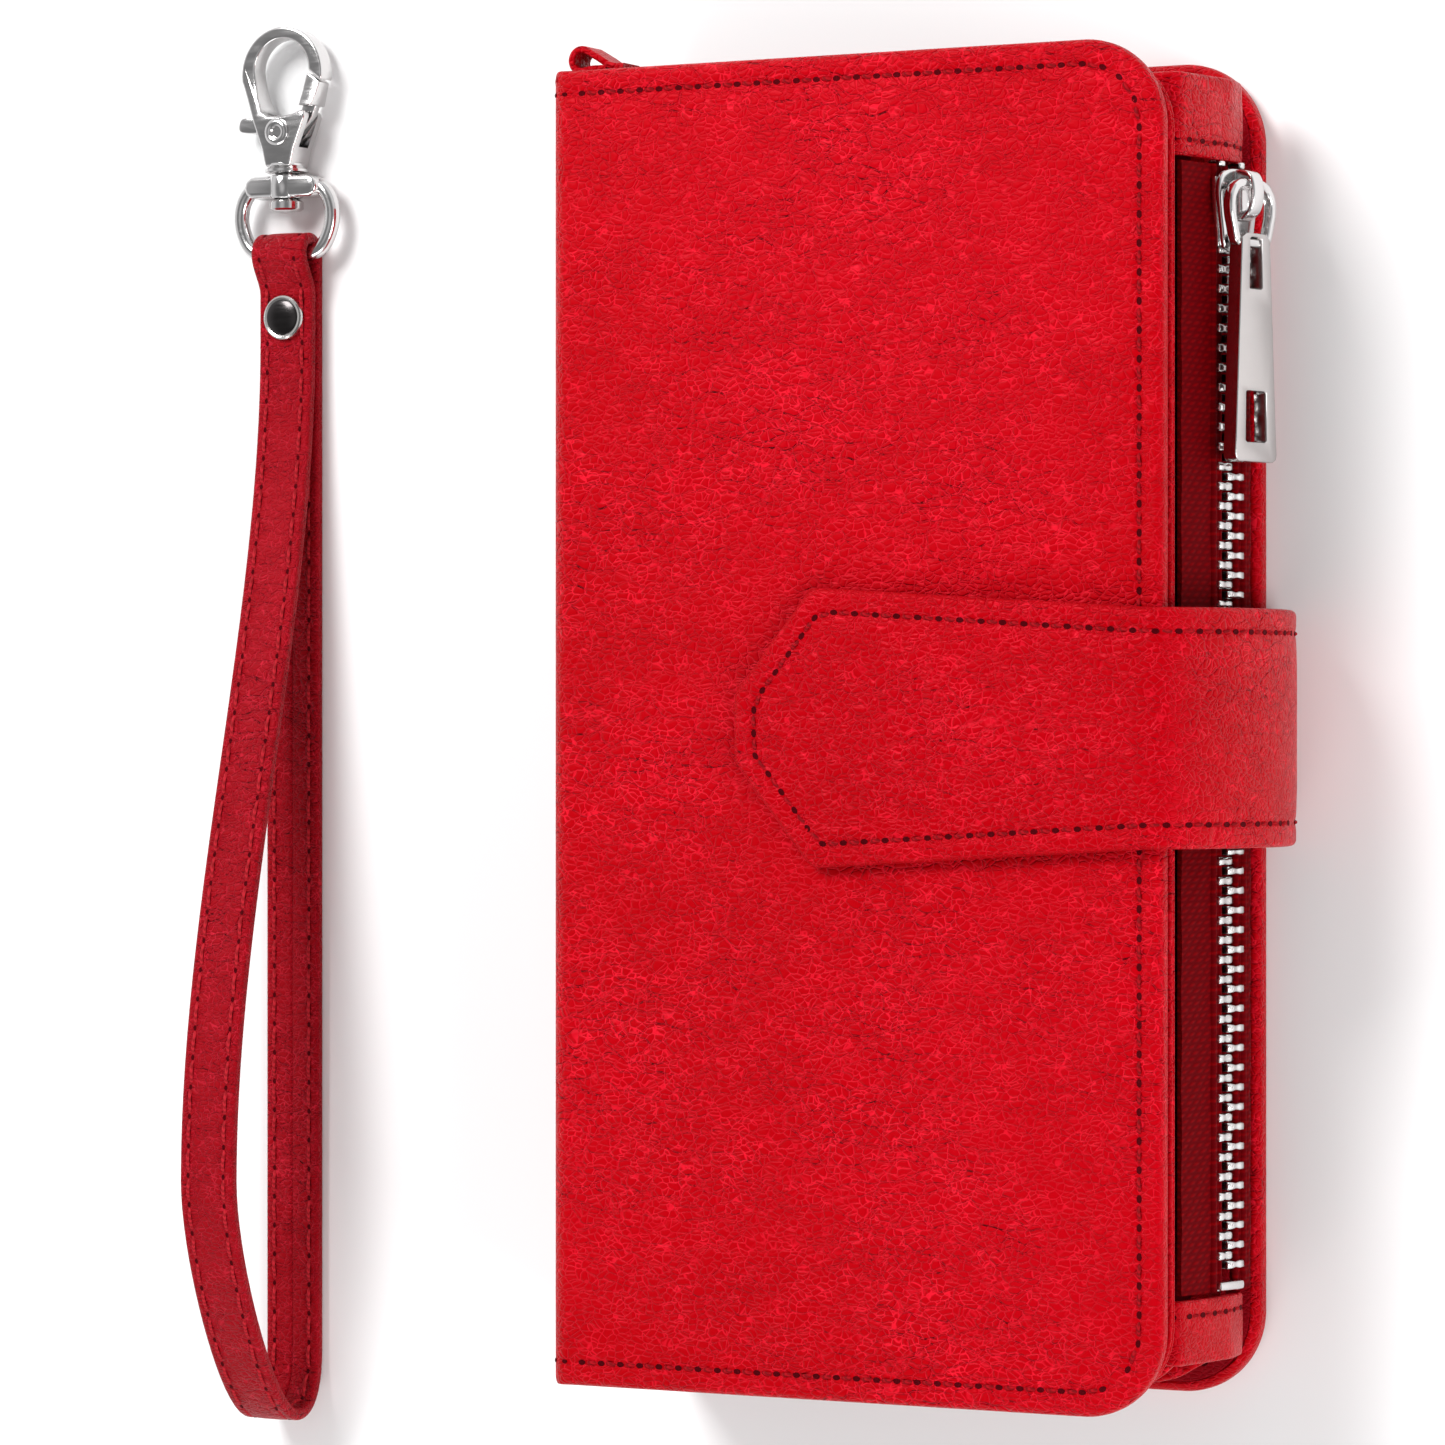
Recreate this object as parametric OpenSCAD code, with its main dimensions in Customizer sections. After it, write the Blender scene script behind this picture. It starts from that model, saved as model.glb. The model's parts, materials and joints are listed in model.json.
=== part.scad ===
// Zipped folio case for a phone, lying on its back cover, with its detached wrist strap beside it.
// X runs from the spine to the fore edge, Y along the spine, Z through the thickness.
// Rest pose: case shut, closure strap over the front, zip closed, slider at the top end.

/* [Case] */
// Length of the case along the spine
case_h = 165; // [160:1:172]
// Width of the case from the spine to the fore edge
case_w = 84; // [84:0.5:88]
// Thickness of the shut case
case_t = 33; // [33:0.25:35]
// Radius of the corners at the fore edge
corner_r = 10.5; // [8:0.5:12]
// Thickness of the back cover
back_t = 3; // [3:0.1:3.2]
// Thickness of the front cover
cover_t = 2.6; // [2.6:0.1:2.8]
// Thickness of the leather skin of the covers
skin_t = 1; // [0.9:0.05:1.05]
// Width of the turned leather edge round the covers
rim_w = 1.2; // [1:0.1:1.6]

/* [Camera window] */
// Width of the camera window
window_w = 20; // [14:1:24]
// Height of the camera window
window_h = 22; // [14:1:26]
// Distance of the window's centre from the case's centre line
window_x = 20; // [16:1:22]
// Height of the window's centre above the case's centre
window_y = 60; // [52:1:62]

/* [Phone tray] */
// Width of the phone tray
tray_w = 76; // [74:0.5:76]
// Length of the phone tray
tray_l = 158; // [150:1:158]
// Height of the phone tray
tray_t = 9.2; // [8:0.2:9.2]
// Wall thickness of the phone tray
tray_wall = 1.6; // [1.2:0.1:2]
// Outer corner radius of the phone tray
tray_r = 9; // [6:0.5:10]

/* [Zip] */
// Distance between neighbouring teeth of one row
tooth_pitch = 2.4; // [2.4:0.1:3]
// Number of teeth in a row
tooth_count = 53; // [44:1:53]
// Thickness of one tooth along the chain
tooth_t = 1.05; // [0.9:0.05:1.05]
// Length of one tooth across the chain
tooth_l = 3.5; // [3.3:0.1:3.6]
// Lean of the chain's face towards the front cover, in degrees
zip_tilt = 12; // [10:1:13]
// Length of the slider
slider_l = 10; // [9:0.5:10]
// Length of the pull plate
plate_l = 26; // [22:1:27]

/* [Closure strap] */
// Half width of the closure strap where it leaves the back cover
strap_half = 14.4; // [12:0.2:15]
// Half width of the closure strap at its tip's corners
tip_half = 17.2; // [15:0.2:18]
// Half width of the blunt nose of the tip
nose_half = 4.2; // [3:0.2:6]
// Distance from the fore edge to the tip's corners
tip_corner = 46; // [40:1:50]
// Distance from the fore edge to the end of the nose
tip_end = 56.6; // [53:0.2:60]
// Thickness of the closure strap
strap_t = 1.9; // [1.8:0.1:1.9]
// Outward bow of the strap over the zip
strap_bow = 6; // [6:0.1:6.4]

/* [Wrist strap] */
// Distance from the case's centre to the wrist strap's centre line
wrist_x = 99.9; // [96:0.1:104]
// Width of the wrist band
band_w = 8.3; // [7:0.1:9]
// Thickness of the doubled wrist band
band_t = 1.6; // [1.5:0.1:1.6]
// Height of the band's arch
arch_h = 22; // [14:0.5:24]
// Outer radius of the hook
hook_r = 6.35; // [6.2:0.05:6.5]
// Inner radius of the hook
hook_in_r = 4.25; // [4.2:0.05:4.4]

/* [Hidden] */
$fn = 48;

// Small space between pieces that lie against each other
fit = 0.02;
// Overlap of a cutting solid past the face it cuts
cut = 1;
half_h = case_h / 2;
x_spine = -case_w / 2;
x_fore = case_w / 2;

// Levels through the thickness
lining_t = 0.6;
tray_z = back_t + 0.4;
tray_top = tray_z + tray_t;
cover_z = case_t - cover_t;
spine_top = cover_z - 0.3;
leaf_z = cover_z - 2.7;
leaf_t = 1.25;
pouch_z = tray_top + 0.9;
pouch_top = leaf_z - 1;

// Faces of the three layers of the spine
spine_skin_x = x_spine + 1;
spine_board_x = x_spine + 1.8;
spine_inner_x = x_spine + 2.4;

// Chain of the zip: centre of its cross section and the ends of the zip
zip_x = x_fore - 0.2;
zip_z = pouch_z - 0.5;
zip_end_y = half_h - 13.5;
slider_y = zip_end_y - 1 - slider_l;
chain_top_y = slider_y + 2.6;
tape_t = 0.7;
wall_t = 1;
wall_half_h = half_h - 2.2;
pouch_x = spine_inner_x + 1.6;

// Hinge line of the pull link, seen from the chain's centre
link_x = 3.5;
link_y = slider_y + 7.9;
link_l = 7;
wire_r = 0.6;
eye_y = link_y - link_l;

// Closure strap: centre line of its side and the arc it bows along
strap_in = 0.4;
strap_x = x_fore + strap_in + strap_t / 2;
strap_z0 = 0.4;
side_half = (case_t - strap_z0) / 2;
side_r = (side_half * side_half + strap_bow * strap_bow) / (2 * strap_bow);
magnet_x = x_fore - tip_corner + 2;
magnet_r = 6.5;
magnet_t = 0.8;

// Wrist strap: height of the hardware's axis and places along the strap
hard_z = 2.8;
fold_y = 63.9;
fold_r = hard_z - band_t / 2;
rivet_y = 55.3;
pinch_z = band_t * 1.5 + 0.15;
arch_y = -60;
bottom_y = -92;
ring_bar_r = 1.1;
ring_band_y = 71.4;
ring_band_h = 3;
collar_y = ring_band_y + ring_band_h + 0.3;
pivot_y = 80.2;
hook_y = 88.15;
hook_half_t = 2.5;
gate_reach = 9.2;

// ---------- shared shapes ----------

// Panel outline: square corners at x0, round corners at x1
module panel_outline(x0, x1, hh, r) {
  union() {
    translate([x0, -hh]) square([x1 - x0 - r, 2 * hh]);
    translate([x1 - r - fit, -hh + r]) square([r + fit, 2 * (hh - r)]);
    for (s = [-1, 1]) translate([x1 - r, s * (hh - r)]) circle(r);
  }
}

module panel(x0, x1, hh, r, z0, z1) {
  translate([0, 0, z0]) linear_extrude(z1 - z0) panel_outline(x0, x1, hh, r);
}

// Block with four round corners, centred at (cx, cy)
module round_block(cx, cy, w, h, r, z0, z1) {
  translate([cx, cy, z0]) linear_extrude(z1 - z0) union() {
    square([w, h - 2 * r], center = true);
    square([w - 2 * r, h], center = true);
    for (sx = [-1, 1], sy = [-1, 1]) {
      translate([sx * (w / 2 - r), sy * (h / 2 - r)]) circle(r);
    }
  }
}

// Band of even thickness along a line of points, with round bends
module ribbon(pts, t) {
  for (i = [0 : len(pts) - 2]) {
    run = pts[i + 1] - pts[i];
    translate(pts[i]) rotate(atan2(run[1], run[0])) translate([0, -t / 2]) square([norm(run), t]);
  }
  if (len(pts) > 2) {
    for (i = [1 : len(pts) - 2]) translate(pts[i]) circle(t / 2);
  }
}

// A cross section in X and Z, run along Y from -hh to hh
module along_y(hh) {
  rotate([90, 0, 0]) translate([0, 0, -hh]) linear_extrude(2 * hh) children();
}

// A side view in Y and Z, run along X through the wrist strap's middle
module along_x(w) {
  translate([-wrist_x - w / 2, 0, 0]) rotate([90, 0, 90]) linear_extrude(w) children();
}

// Frame of the zip chain: X out of the chain, Y along it, Z across it
module at_zip() {
  translate([zip_x, 0, zip_z]) rotate([0, -zip_tilt, 0]) children();
}

// Frame of the hook: X across, Y along the swivel's axis, Z through the flat hook
module at_hook() {
  translate([-wrist_x, 0, hard_z]) children();
}

module rod(p, q, r) {
  run = q - p;
  translate(p) rotate([0, acos(run[2] / norm(run)), atan2(run[1], run[0])]) cylinder(r = r, h = norm(run));
}

// ---------- back cover ----------

module camera_window(z0, z1, grow) {
  round_block(window_x, window_y, window_w + grow, window_h + grow, 3, z0, z1);
}

module back_leather() {
  color("firebrick") difference() {
    panel(x_spine, x_fore, half_h, corner_r, 0, back_t);
    panel(x_spine + rim_w, x_fore - rim_w, half_h - rim_w, corner_r - rim_w, skin_t, back_t + cut);
    camera_window(-cut, back_t + cut, 0);
  }
}

module back_board() {
  inset = rim_w + fit;
  color("tan") difference() {
    panel(x_spine + inset, x_fore - inset, half_h - inset, corner_r - inset,
      skin_t + fit, back_t - lining_t - fit);
    camera_window(-cut, back_t + cut, 1);
  }
}

module back_lining() {
  inset = rim_w + fit;
  color("brown") difference() {
    panel(x_spine + inset, x_fore - inset, half_h - inset, corner_r - inset,
      back_t - lining_t, back_t);
    camera_window(-cut, back_t + cut, 0);
  }
}

// ---------- phone tray ----------

tray_x = spine_inner_x + 1 + tray_w / 2;

module tray_pad() {
  pad_inset = 12;
  color("dimgray") difference() {
    round_block(tray_x, 0, tray_w - pad_inset, tray_l - pad_inset, 4, back_t + fit, tray_z - fit);
    camera_window(0, tray_z + cut, 2);
  }
}

module phone_tray() {
  inside_w = tray_w - 2 * tray_wall;
  inside_l = tray_l - 2 * tray_wall;
  lip = 0.6;
  lip_t = 0.8;
  color("dimgray") difference() {
    round_block(tray_x, 0, tray_w, tray_l, tray_r, tray_z, tray_top);
    round_block(tray_x, 0, inside_w, inside_l, tray_r - tray_wall, tray_z + tray_wall, tray_top - lip_t);
    round_block(tray_x, 0, inside_w - 2 * lip, inside_l - 2 * lip, tray_r - tray_wall - lip,
      tray_z + tray_wall, tray_top + cut);
    camera_window(0, tray_top, 0);
  }
}

// ---------- spine ----------

module spine_slab(x0, x1, hh) {
  translate([x0, -hh, back_t + fit]) cube([x1 - x0, 2 * hh, spine_top - back_t - fit]);
}

module spine_leather() {
  color("firebrick") spine_slab(x_spine, spine_skin_x - fit, half_h);
}

module spine_board() {
  color("tan") spine_slab(spine_skin_x, spine_board_x - fit, half_h - rim_w);
}

module spine_lining() {
  color("brown") spine_slab(spine_board_x, spine_inner_x, half_h - rim_w);
}

// Small rolled leather loop standing on the spine's top end
module lanyard_loop() {
  loop_x = x_spine + 2.8;
  loop_y = half_h + 1.7;
  loop_r = 2.1;
  loop_z = spine_top - 5;
  loop_t = 4.5;
  tail = [[0, -loop_r + 0.9], [0, loop_r], [3, loop_r - 1], [6.4, -loop_r + 1.2], [6.4, -loop_r + 0.9]];
  color("firebrick") difference() {
    union() {
      translate([loop_x, loop_y, loop_z]) cylinder(r = loop_r, h = loop_t);
      translate([loop_x, loop_y, loop_z]) linear_extrude(loop_t) polygon(tail);
      translate([x_spine + 0.6, half_h, loop_z]) cube([1.8, loop_r, loop_t]);
    }
    translate([loop_x, loop_y, loop_z - cut]) cylinder(r = 0.8, h = loop_t + 2 * cut);
    translate([x_spine, half_h - cut * 2, loop_z - cut]) cube([12, cut * 2, loop_t + 2 * cut]);
  }
}

// ---------- front cover ----------

module cover_leather() {
  color("firebrick") difference() {
    panel(x_spine, x_fore, half_h, corner_r, cover_z, case_t);
    panel(x_spine + rim_w, x_fore - rim_w, half_h - rim_w, corner_r - rim_w,
      cover_z - cut, case_t - skin_t);
  }
}

module keeper_disc(r, z0, z1) {
  translate([magnet_x, 0, z0]) cylinder(r = r, h = z1 - z0);
}

module cover_board() {
  inset = rim_w + fit;
  color("tan") difference() {
    panel(x_spine + inset, x_fore - inset, half_h - inset, corner_r - inset,
      cover_z + lining_t + fit, case_t - skin_t - fit);
    keeper_disc(magnet_r + 1.5, cover_z, case_t);
  }
}

module cover_keeper() {
  color("gray") keeper_disc(magnet_r + 1.4, cover_z + lining_t + 2 * fit, case_t - skin_t - 2 * fit);
}

module cover_lining() {
  inset = rim_w + fit;
  color("brown") panel(x_spine + inset, x_fore - inset, half_h - inset, corner_r - inset,
    cover_z, cover_z + lining_t);
}

// One card pocket: a thin flap, open along its edge nearest the spine
module card_pocket(step) {
  pocket_t = 0.3;
  open_x = x_spine + 18 + step * 10;
  top = cover_z - fit - step * (pocket_t + fit);
  color("brown") panel(open_x, x_fore - 4, half_h - 5, 8, top - pocket_t, top);
}

module card_pocket_deep() {
  card_pocket(0);
}

module card_pocket_mid() {
  card_pocket(1);
}

module card_pocket_front() {
  card_pocket(2);
}

// ---------- middle leaf ----------

module leaf_skin(z0) {
  leaf_inset = 0.5;
  color("firebrick") panel(spine_inner_x + 0.5, x_fore - leaf_inset, half_h - 1.2, corner_r - 1,
    z0, z0 + leaf_t / 2 - fit);
}

module leaf_front_skin() {
  leaf_skin(leaf_z + leaf_t / 2);
}

module leaf_back_skin() {
  leaf_skin(leaf_z);
}

// ---------- coin pouch ----------

front_path = [
  [pouch_x, pouch_top],
  [x_fore - 22, pouch_top],
  [x_fore - 2.8, pouch_top - 3.7]
];
back_path = [
  [pouch_x, pouch_z],
  [x_fore - 3.5, pouch_z],
  [x_fore - 3.5, pouch_z - 5.8]
];

module wall_limit(z0, z1) {
  panel(x_spine, x_fore, wall_half_h, corner_r, z0, z1);
}

module pouch_front_wall() {
  color("firebrick") intersection() {
    along_y(wall_half_h) ribbon(front_path, wall_t);
    wall_limit(0, case_t);
  }
}

module pouch_back_wall() {
  color("firebrick") intersection() {
    along_y(wall_half_h) ribbon(back_path, wall_t * 0.8);
    wall_limit(0, case_t);
  }
}

module pouch_spine_wall() {
  bottom = pouch_z - wall_t * 0.4;
  top = pouch_top + wall_t / 2;
  color("firebrick") translate([pouch_x - wall_t - fit, -wall_half_h, bottom])
    cube([wall_t, 2 * wall_half_h, top - bottom]);
}

// End panel between the pouch walls
module gusset(side) {
  gap = 0.05;
  low = pouch_z + wall_t * 0.4 + gap;
  high = pouch_top - wall_t / 2 - gap;
  fore = x_fore - 9;
  drop = 2.6;
  plan = [[pouch_x + gap, low], [fore, low], [fore, high - drop], [x_fore - 22.2, high], [pouch_x + gap, high]];
  color("brown") translate([0, side * (wall_half_h - 1.2), 0]) along_y(0.4) polygon(plan);
}

module pouch_gusset_top() {
  gusset(1);
}

module pouch_gusset_bottom() {
  gusset(-1);
}

// Thin fabric on the inner faces of both walls
module pouch_lining() {
  cloth = 0.3;
  high = pouch_top - wall_t / 2 - 0.3;
  low = pouch_z + wall_t * 0.4 + 0.3;
  inner_half = wall_half_h - 2.2;
  color("maroon") intersection() {
    along_y(inner_half) union() {
      ribbon([[pouch_x + 0.3, high], [x_fore - 22.2, high], [x_fore - 4, high - 3.5]], cloth);
      ribbon([[pouch_x + 0.3, low], [x_fore - 4, low]], cloth);
    }
    panel(x_spine, x_fore, inner_half, corner_r, 0, case_t);
  }
}

// ---------- zip ----------

module zip_tape_front() {
  color("crimson") at_zip() translate([-tape_t / 2, -zip_end_y + 0.5, tooth_l - 0.4])
    cube([tape_t, 2 * zip_end_y - 1, 6.2]);
}

// The rear tape passes the slider straight, then turns in under the pouch
module zip_tape_back() {
  reach = 4.8;
  side = [zip_x + reach * sin(zip_tilt), zip_z - reach * cos(zip_tilt)];
  edge = [zip_x + (tooth_l - 0.4) * sin(zip_tilt), zip_z - (tooth_l - 0.4) * cos(zip_tilt)];
  color("crimson") along_y(zip_end_y - 0.5)
    ribbon([edge, side, side + [-0.8, -1.1], [x_fore - 2.4, side[1] - 1.1]], tape_t);
}

// One row of teeth; side is 1 for the front row and -1 for the rear row
module tooth_row(side) {
  shift = side > 0 ? 0 : tooth_pitch / 2;
  reach = 0.5;
  for (i = [0 : tooth_count - 1]) {
    y = chain_top_y - shift - i * tooth_pitch;
    translate([0, y, side * (tooth_l / 2 - reach)]) cube([1.8, tooth_t, tooth_l], center = true);
  }
}

module zip_teeth_front() {
  color("silver") at_zip() tooth_row(1);
}

module zip_teeth_back() {
  color("silver") at_zip() tooth_row(-1);
}

module zip_top_stops() {
  color("silver") at_zip() for (s = [-1, 1]) {
    translate([0, zip_end_y - 0.4, s * 2.3]) cube([1.8, 0.6, 1.3], center = true);
  }
}

module zip_bottom_stop() {
  color("silver") at_zip() translate([0, -zip_end_y + 1.1, 0]) cube([2, 1.1, 5.6], center = true);
}

// Folded leather piece over the end of the zip
module end_tab(side) {
  tab_l = half_h - 1.8 - zip_end_y;
  path = [
    [x_fore - 5, zip_z + 11.6],
    [x_fore - 1.8, zip_z + 11.2],
    [x_fore + 0.9, zip_z],
    [x_fore + 0.4, zip_z - 5.4],
    [x_fore - 2.4, zip_z - 6.4]
  ];
  color("firebrick") translate([0, side * (zip_end_y + tab_l / 2), 0])
    along_y(tab_l / 2) ribbon(path, 1.1);
}

module zip_end_tab_top() {
  end_tab(1);
}

module zip_end_tab_bottom() {
  end_tab(-1);
}

// Two plates round the teeth, joined by the wedge that parts the rows
module slider_body() {
  plate_t = 0.8;
  inner = 1.1;
  half = 4;
  color("gainsboro") at_zip() union() {
    for (s = [-1, 1]) {
      translate([s * (inner + plate_t / 2), slider_y + slider_l / 2, 0])
        cube([plate_t, slider_l, 2 * half], center = true);
      for (e = [-1, 1]) {
        translate([s * 0.85, slider_y + slider_l / 2, e * (half - 0.35)])
          cube([0.6, slider_l, 0.7], center = true);
      }
    }
    translate([-inner - fit, slider_y + slider_l - 2.5, 0]) rotate([0, 90, 0])
      cylinder(r = 1.7, h = 2 * (inner + fit), $fn = 4);
  }
}

// Arch on the slider that the link hangs in
module slider_crown() {
  low = 1.9 + fit;
  high = 4.9;
  foot = slider_y + 3.6;
  color("gainsboro") at_zip() difference() {
    translate([low, foot, -1.1]) cube([high - low, 6.2, 2.2]);
    translate([link_x - 0.72, foot + 1.1, -1.1 - cut]) cube([1.44, 4, 2.2 + 2 * cut]);
  }
}

// Wire loop, wide in the crown and narrow at the pull plate
module pull_link() {
  wide = 3.2;
  narrow = 2;
  over = 0.45;
  corners = [[link_x, link_y, wide], [link_x, link_y, -wide], [link_x, eye_y, -narrow], [link_x, eye_y, narrow]];
  color("gainsboro") at_zip() union() {
    for (i = [0 : 3]) {
      run = corners[(i + 1) % 4] - corners[i];
      step = over * run / norm(run);
      rod(corners[i] - step, corners[(i + 1) % 4] + step, wire_r);
    }
  }
}

// Long tapered plate with an eye at the link and two slots
module pull_plate() {
  thick = 2;
  top = eye_y - 1.8;
  end = eye_y - plate_l - 1;
  slot_half = 1.3;
  outline = [[top, -2.4], [top - 0.7, -3.1], [end + 1, -3.65], [end, -2.7], [end, 2.7], [end + 1, 3.65],
    [top - 0.7, 3.1], [top, 2.4]];
  color("gainsboro") at_zip() difference() {
    union() {
      translate([link_x - thick / 2, 0, 0]) rotate([90, 0, 90]) linear_extrude(thick) polygon(outline);
      translate([link_x, eye_y, -1.1]) cylinder(r = 1.35, h = 2.2);
      translate([link_x - 0.9, top - 1, -1.1]) cube([1.8, eye_y - top + 1, 2.2]);
    }
    translate([link_x, eye_y, -1.1 - cut]) cylinder(r = wire_r + 0.08, h = 2.2 + 2 * cut);
    translate([link_x - 2, top - 4.6, -slot_half]) cube([4, 2.6, 2 * slot_half]);
    translate([link_x - 2, end + 4.4, -2]) cube([4, 5.4, 4]);
  }
}

// ---------- closure strap ----------

// Bowed side of the strap, between two distances from its centre line
module strap_side(d0, d1) {
  middle = [strap_x + strap_bow - side_r, strap_z0 + side_half];
  along_y(strap_half) intersection() {
    difference() {
      translate(middle) circle(side_r + d1);
      translate(middle) circle(side_r + d0);
    }
    translate([x_fore + 0.2, strap_z0]) square([20, 2 * side_half - fit]);
  }
}

module strap_side_leather() {
  color("firebrick") strap_side(fit / 2, strap_t / 2);
}

module strap_side_lining() {
  color("brown") strap_side(-strap_t / 2, -fit / 2);
}

// Plan of the strap's front part, from the fore edge to the nose
module tip_plan() {
  xc = x_fore - tip_corner;
  xe = x_fore - tip_end;
  polygon([[x_fore, strap_half], [xc, tip_half], [xe, nose_half], [xe, -nose_half], [xc, -tip_half],
    [x_fore, -strap_half]]);
}

// Front part of the strap with its bend over the cover's edge, between two heights above the cover
module strap_front(h0, h1) {
  union() {
    translate([0, 0, case_t + h0]) linear_extrude(h1 - h0) tip_plan();
    along_y(strap_half) intersection() {
      translate([x_fore, case_t]) difference() {
        circle(h1);
        circle(h0);
      }
      translate([x_fore - fit, case_t]) square([h1 + cut, h1 + cut]);
    }
  }
}

module magnet_disc(grow) {
  middle = case_t + strap_in + strap_t / 2;
  translate([magnet_x, 0, middle - magnet_t / 2 - grow])
    cylinder(r = magnet_r + grow, h = magnet_t + 2 * grow);
}

module strap_tip_leather() {
  color("firebrick") difference() {
    strap_front(strap_in + strap_t / 2 + fit, strap_in + strap_t);
    magnet_disc(fit);
  }
}

module strap_tip_lining() {
  color("brown") difference() {
    strap_front(strap_in, strap_in + strap_t / 2);
    magnet_disc(fit);
  }
}

module strap_magnet() {
  color("gray") magnet_disc(0);
}

// ---------- wrist band ----------

function ease(u) = u * u * (3 - 2 * u);
function bezier(a, b, c, d, u) =
  pow(1 - u, 3) * a + 3 * u * pow(1 - u, 2) * b + 3 * u * u * (1 - u) * c + pow(u, 3) * d;

// Closed centre line of the band in Y and Z: ring fold, pinch at the rivet, arch, lower fold, flat leg
leg_z = band_t / 2;
band_path = concat(
  [for (a = [-90 : 15 : 75]) [fold_y + fold_r * cos(a), hard_z + fold_r * sin(a)]],
  [for (i = [0 : 6]) [fold_y - 5.4 * i / 6, hard_z + fold_r - (hard_z + fold_r - pinch_z) * ease(i / 6)]],
  [for (i = [0 : 20]) let (u = i / 20)
    [rivet_y - 3.3 - (rivet_y - 3.3 - arch_y) * u, pinch_z + (arch_h - pinch_z) * ease(u)]],
  [for (i = [1 : 12]) bezier([arch_y, arch_h], [arch_y - 10, arch_h], [bottom_y + 2, 13], [bottom_y, 7], i / 12)],
  [for (i = [1 : 7]) bezier([bottom_y, 7], [bottom_y - 1, 4], [bottom_y + 1, leg_z], [bottom_y + 8, leg_z], i / 7)],
  [for (i = [1 : 8]) [bottom_y + 8 + (rivet_y + 5 - bottom_y - 8) * i / 8, leg_z]]
);

// The centre line moved outwards by d
function moved(path, d) = [
  for (i = [0 : len(path) - 1])
    let (n = len(path), run = path[(i + 1) % n] - path[(i + n - 1) % n])
      path[i] + d * [run[1], -run[0]] / norm(run)
];

module band_layer(d0, d1) {
  along_x(band_w) difference() {
    polygon(moved(band_path, d1));
    polygon(moved(band_path, d0));
  }
}

module at_rivet(z) {
  translate([-wrist_x, rivet_y, z]) children();
}

module rivet_holes() {
  at_rivet(-cut) cylinder(r = 1.07, h = 6);
  at_rivet(-cut) cylinder(r = 2.65, h = 0.55 + cut);
}

module band_leather() {
  color("firebrick") difference() {
    band_layer(fit / 2, band_t / 2);
    rivet_holes();
  }
}

module band_lining() {
  color("brown") difference() {
    band_layer(-band_t / 2, -fit / 2);
    rivet_holes();
  }
}

module rivet_cap() {
  dome = 5;
  cap_r = 2.85;
  sink = sqrt(dome * dome - cap_r * cap_r);
  color("dimgray") at_rivet(pinch_z + band_t / 2 + 0.05) intersection() {
    translate([0, 0, -sink]) sphere(dome);
    cylinder(r = cap_r, h = dome);
  }
}

module rivet_post() {
  color("dimgray") union() {
    at_rivet(0.05) cylinder(r = 2.6, h = 0.45);
    at_rivet(0.3) cylinder(r = 1.05, h = pinch_z + band_t / 2 + 0.04 - 0.3);
  }
}

// ---------- swivel and hook ----------

module swivel_ring() {
  half = 6.4;
  band_half = 7.4;
  thick = 3.8;
  color("silver") at_hook() difference() {
    union() {
      rod([-half, fold_y, 0], [half, fold_y, 0], ring_bar_r);
      for (s = [-1, 1]) {
        translate([s * half, fold_y, 0]) sphere(ring_bar_r);
        rod([s * half, fold_y, 0], [s * half, ring_band_y + 0.5, 0], ring_bar_r);
      }
      translate([-band_half, ring_band_y, -thick / 2]) cube([2 * band_half, ring_band_h, thick]);
    }
    rod([0, ring_band_y - cut, 0], [0, ring_band_y + ring_band_h + cut, 0], 1.45);
  }
}

module swivel_post() {
  color("silver") at_hook() union() {
    rod([0, ring_band_y - 1.7, 0], [0, ring_band_y - 0.2, 0], 2.3);
    rod([0, ring_band_y - 0.4, 0], [0, collar_y + 2.2, 0], 1.4);
  }
}

module hook_plan() {
  difference() {
    union() {
      translate([0, hook_y]) circle(hook_r);
      polygon([[-2, collar_y + 1], [2, collar_y + 1], [3.9, 81.4], [hook_r - 0.1, 87], [-hook_r + 0.1, 87],
        [-3.9, 81.4]]);
    }
    translate([0, hook_y + 0.55]) circle(hook_in_r);
    polygon([[-hook_in_r, hook_y + 0.55], [-3, 82.4], [3, 82.4], [hook_in_r, hook_y + 0.55]]);
    intersection() {
      translate([0, pivot_y]) circle(gate_reach);
      translate([2.6, 82.6]) square([8, 8]);
    }
  }
}

module hook_body() {
  color("silver") at_hook() difference() {
    union() {
      translate([0, 0, -hook_half_t]) linear_extrude(2 * hook_half_t) hook_plan();
      rod([0, collar_y, 0], [0, collar_y + 1.6, 0], 2.75);
    }
    translate([-8, pivot_y - 2, -1.2]) cube([16, 4.6, 2.4]);
    translate([0, pivot_y, -hook_half_t - cut]) cylinder(r = 1.02, h = 2 * (hook_half_t + cut));
    rod([0, collar_y - cut, 0], [0, collar_y + 2.25, 0], 1.42);
  }
}

module gate_pin() {
  color("gainsboro") at_hook() translate([0, pivot_y, 0]) union() {
    translate([0, 0, -hook_half_t - 0.1]) cylinder(r = 1, h = 2 * hook_half_t + 0.2);
    translate([0, 0, -hook_half_t - 0.28]) cylinder(r = 1.75, h = 0.25);
    translate([0, 0, hook_half_t + 0.03]) cylinder(r = 1.75, h = 0.5);
  }
}

// Coil round the pin with one leg along the lever
module gate_spring() {
  coil_r = 1.45;
  wire = 0.25;
  color("gainsboro") at_hook() translate([0, pivot_y, 0.75]) union() {
    rotate_extrude() translate([coil_r, 0]) circle(wire);
    rod([coil_r * cos(-60), coil_r * sin(-60), 0], [3, 1, 0], wire * 0.9);
  }
}

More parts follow.
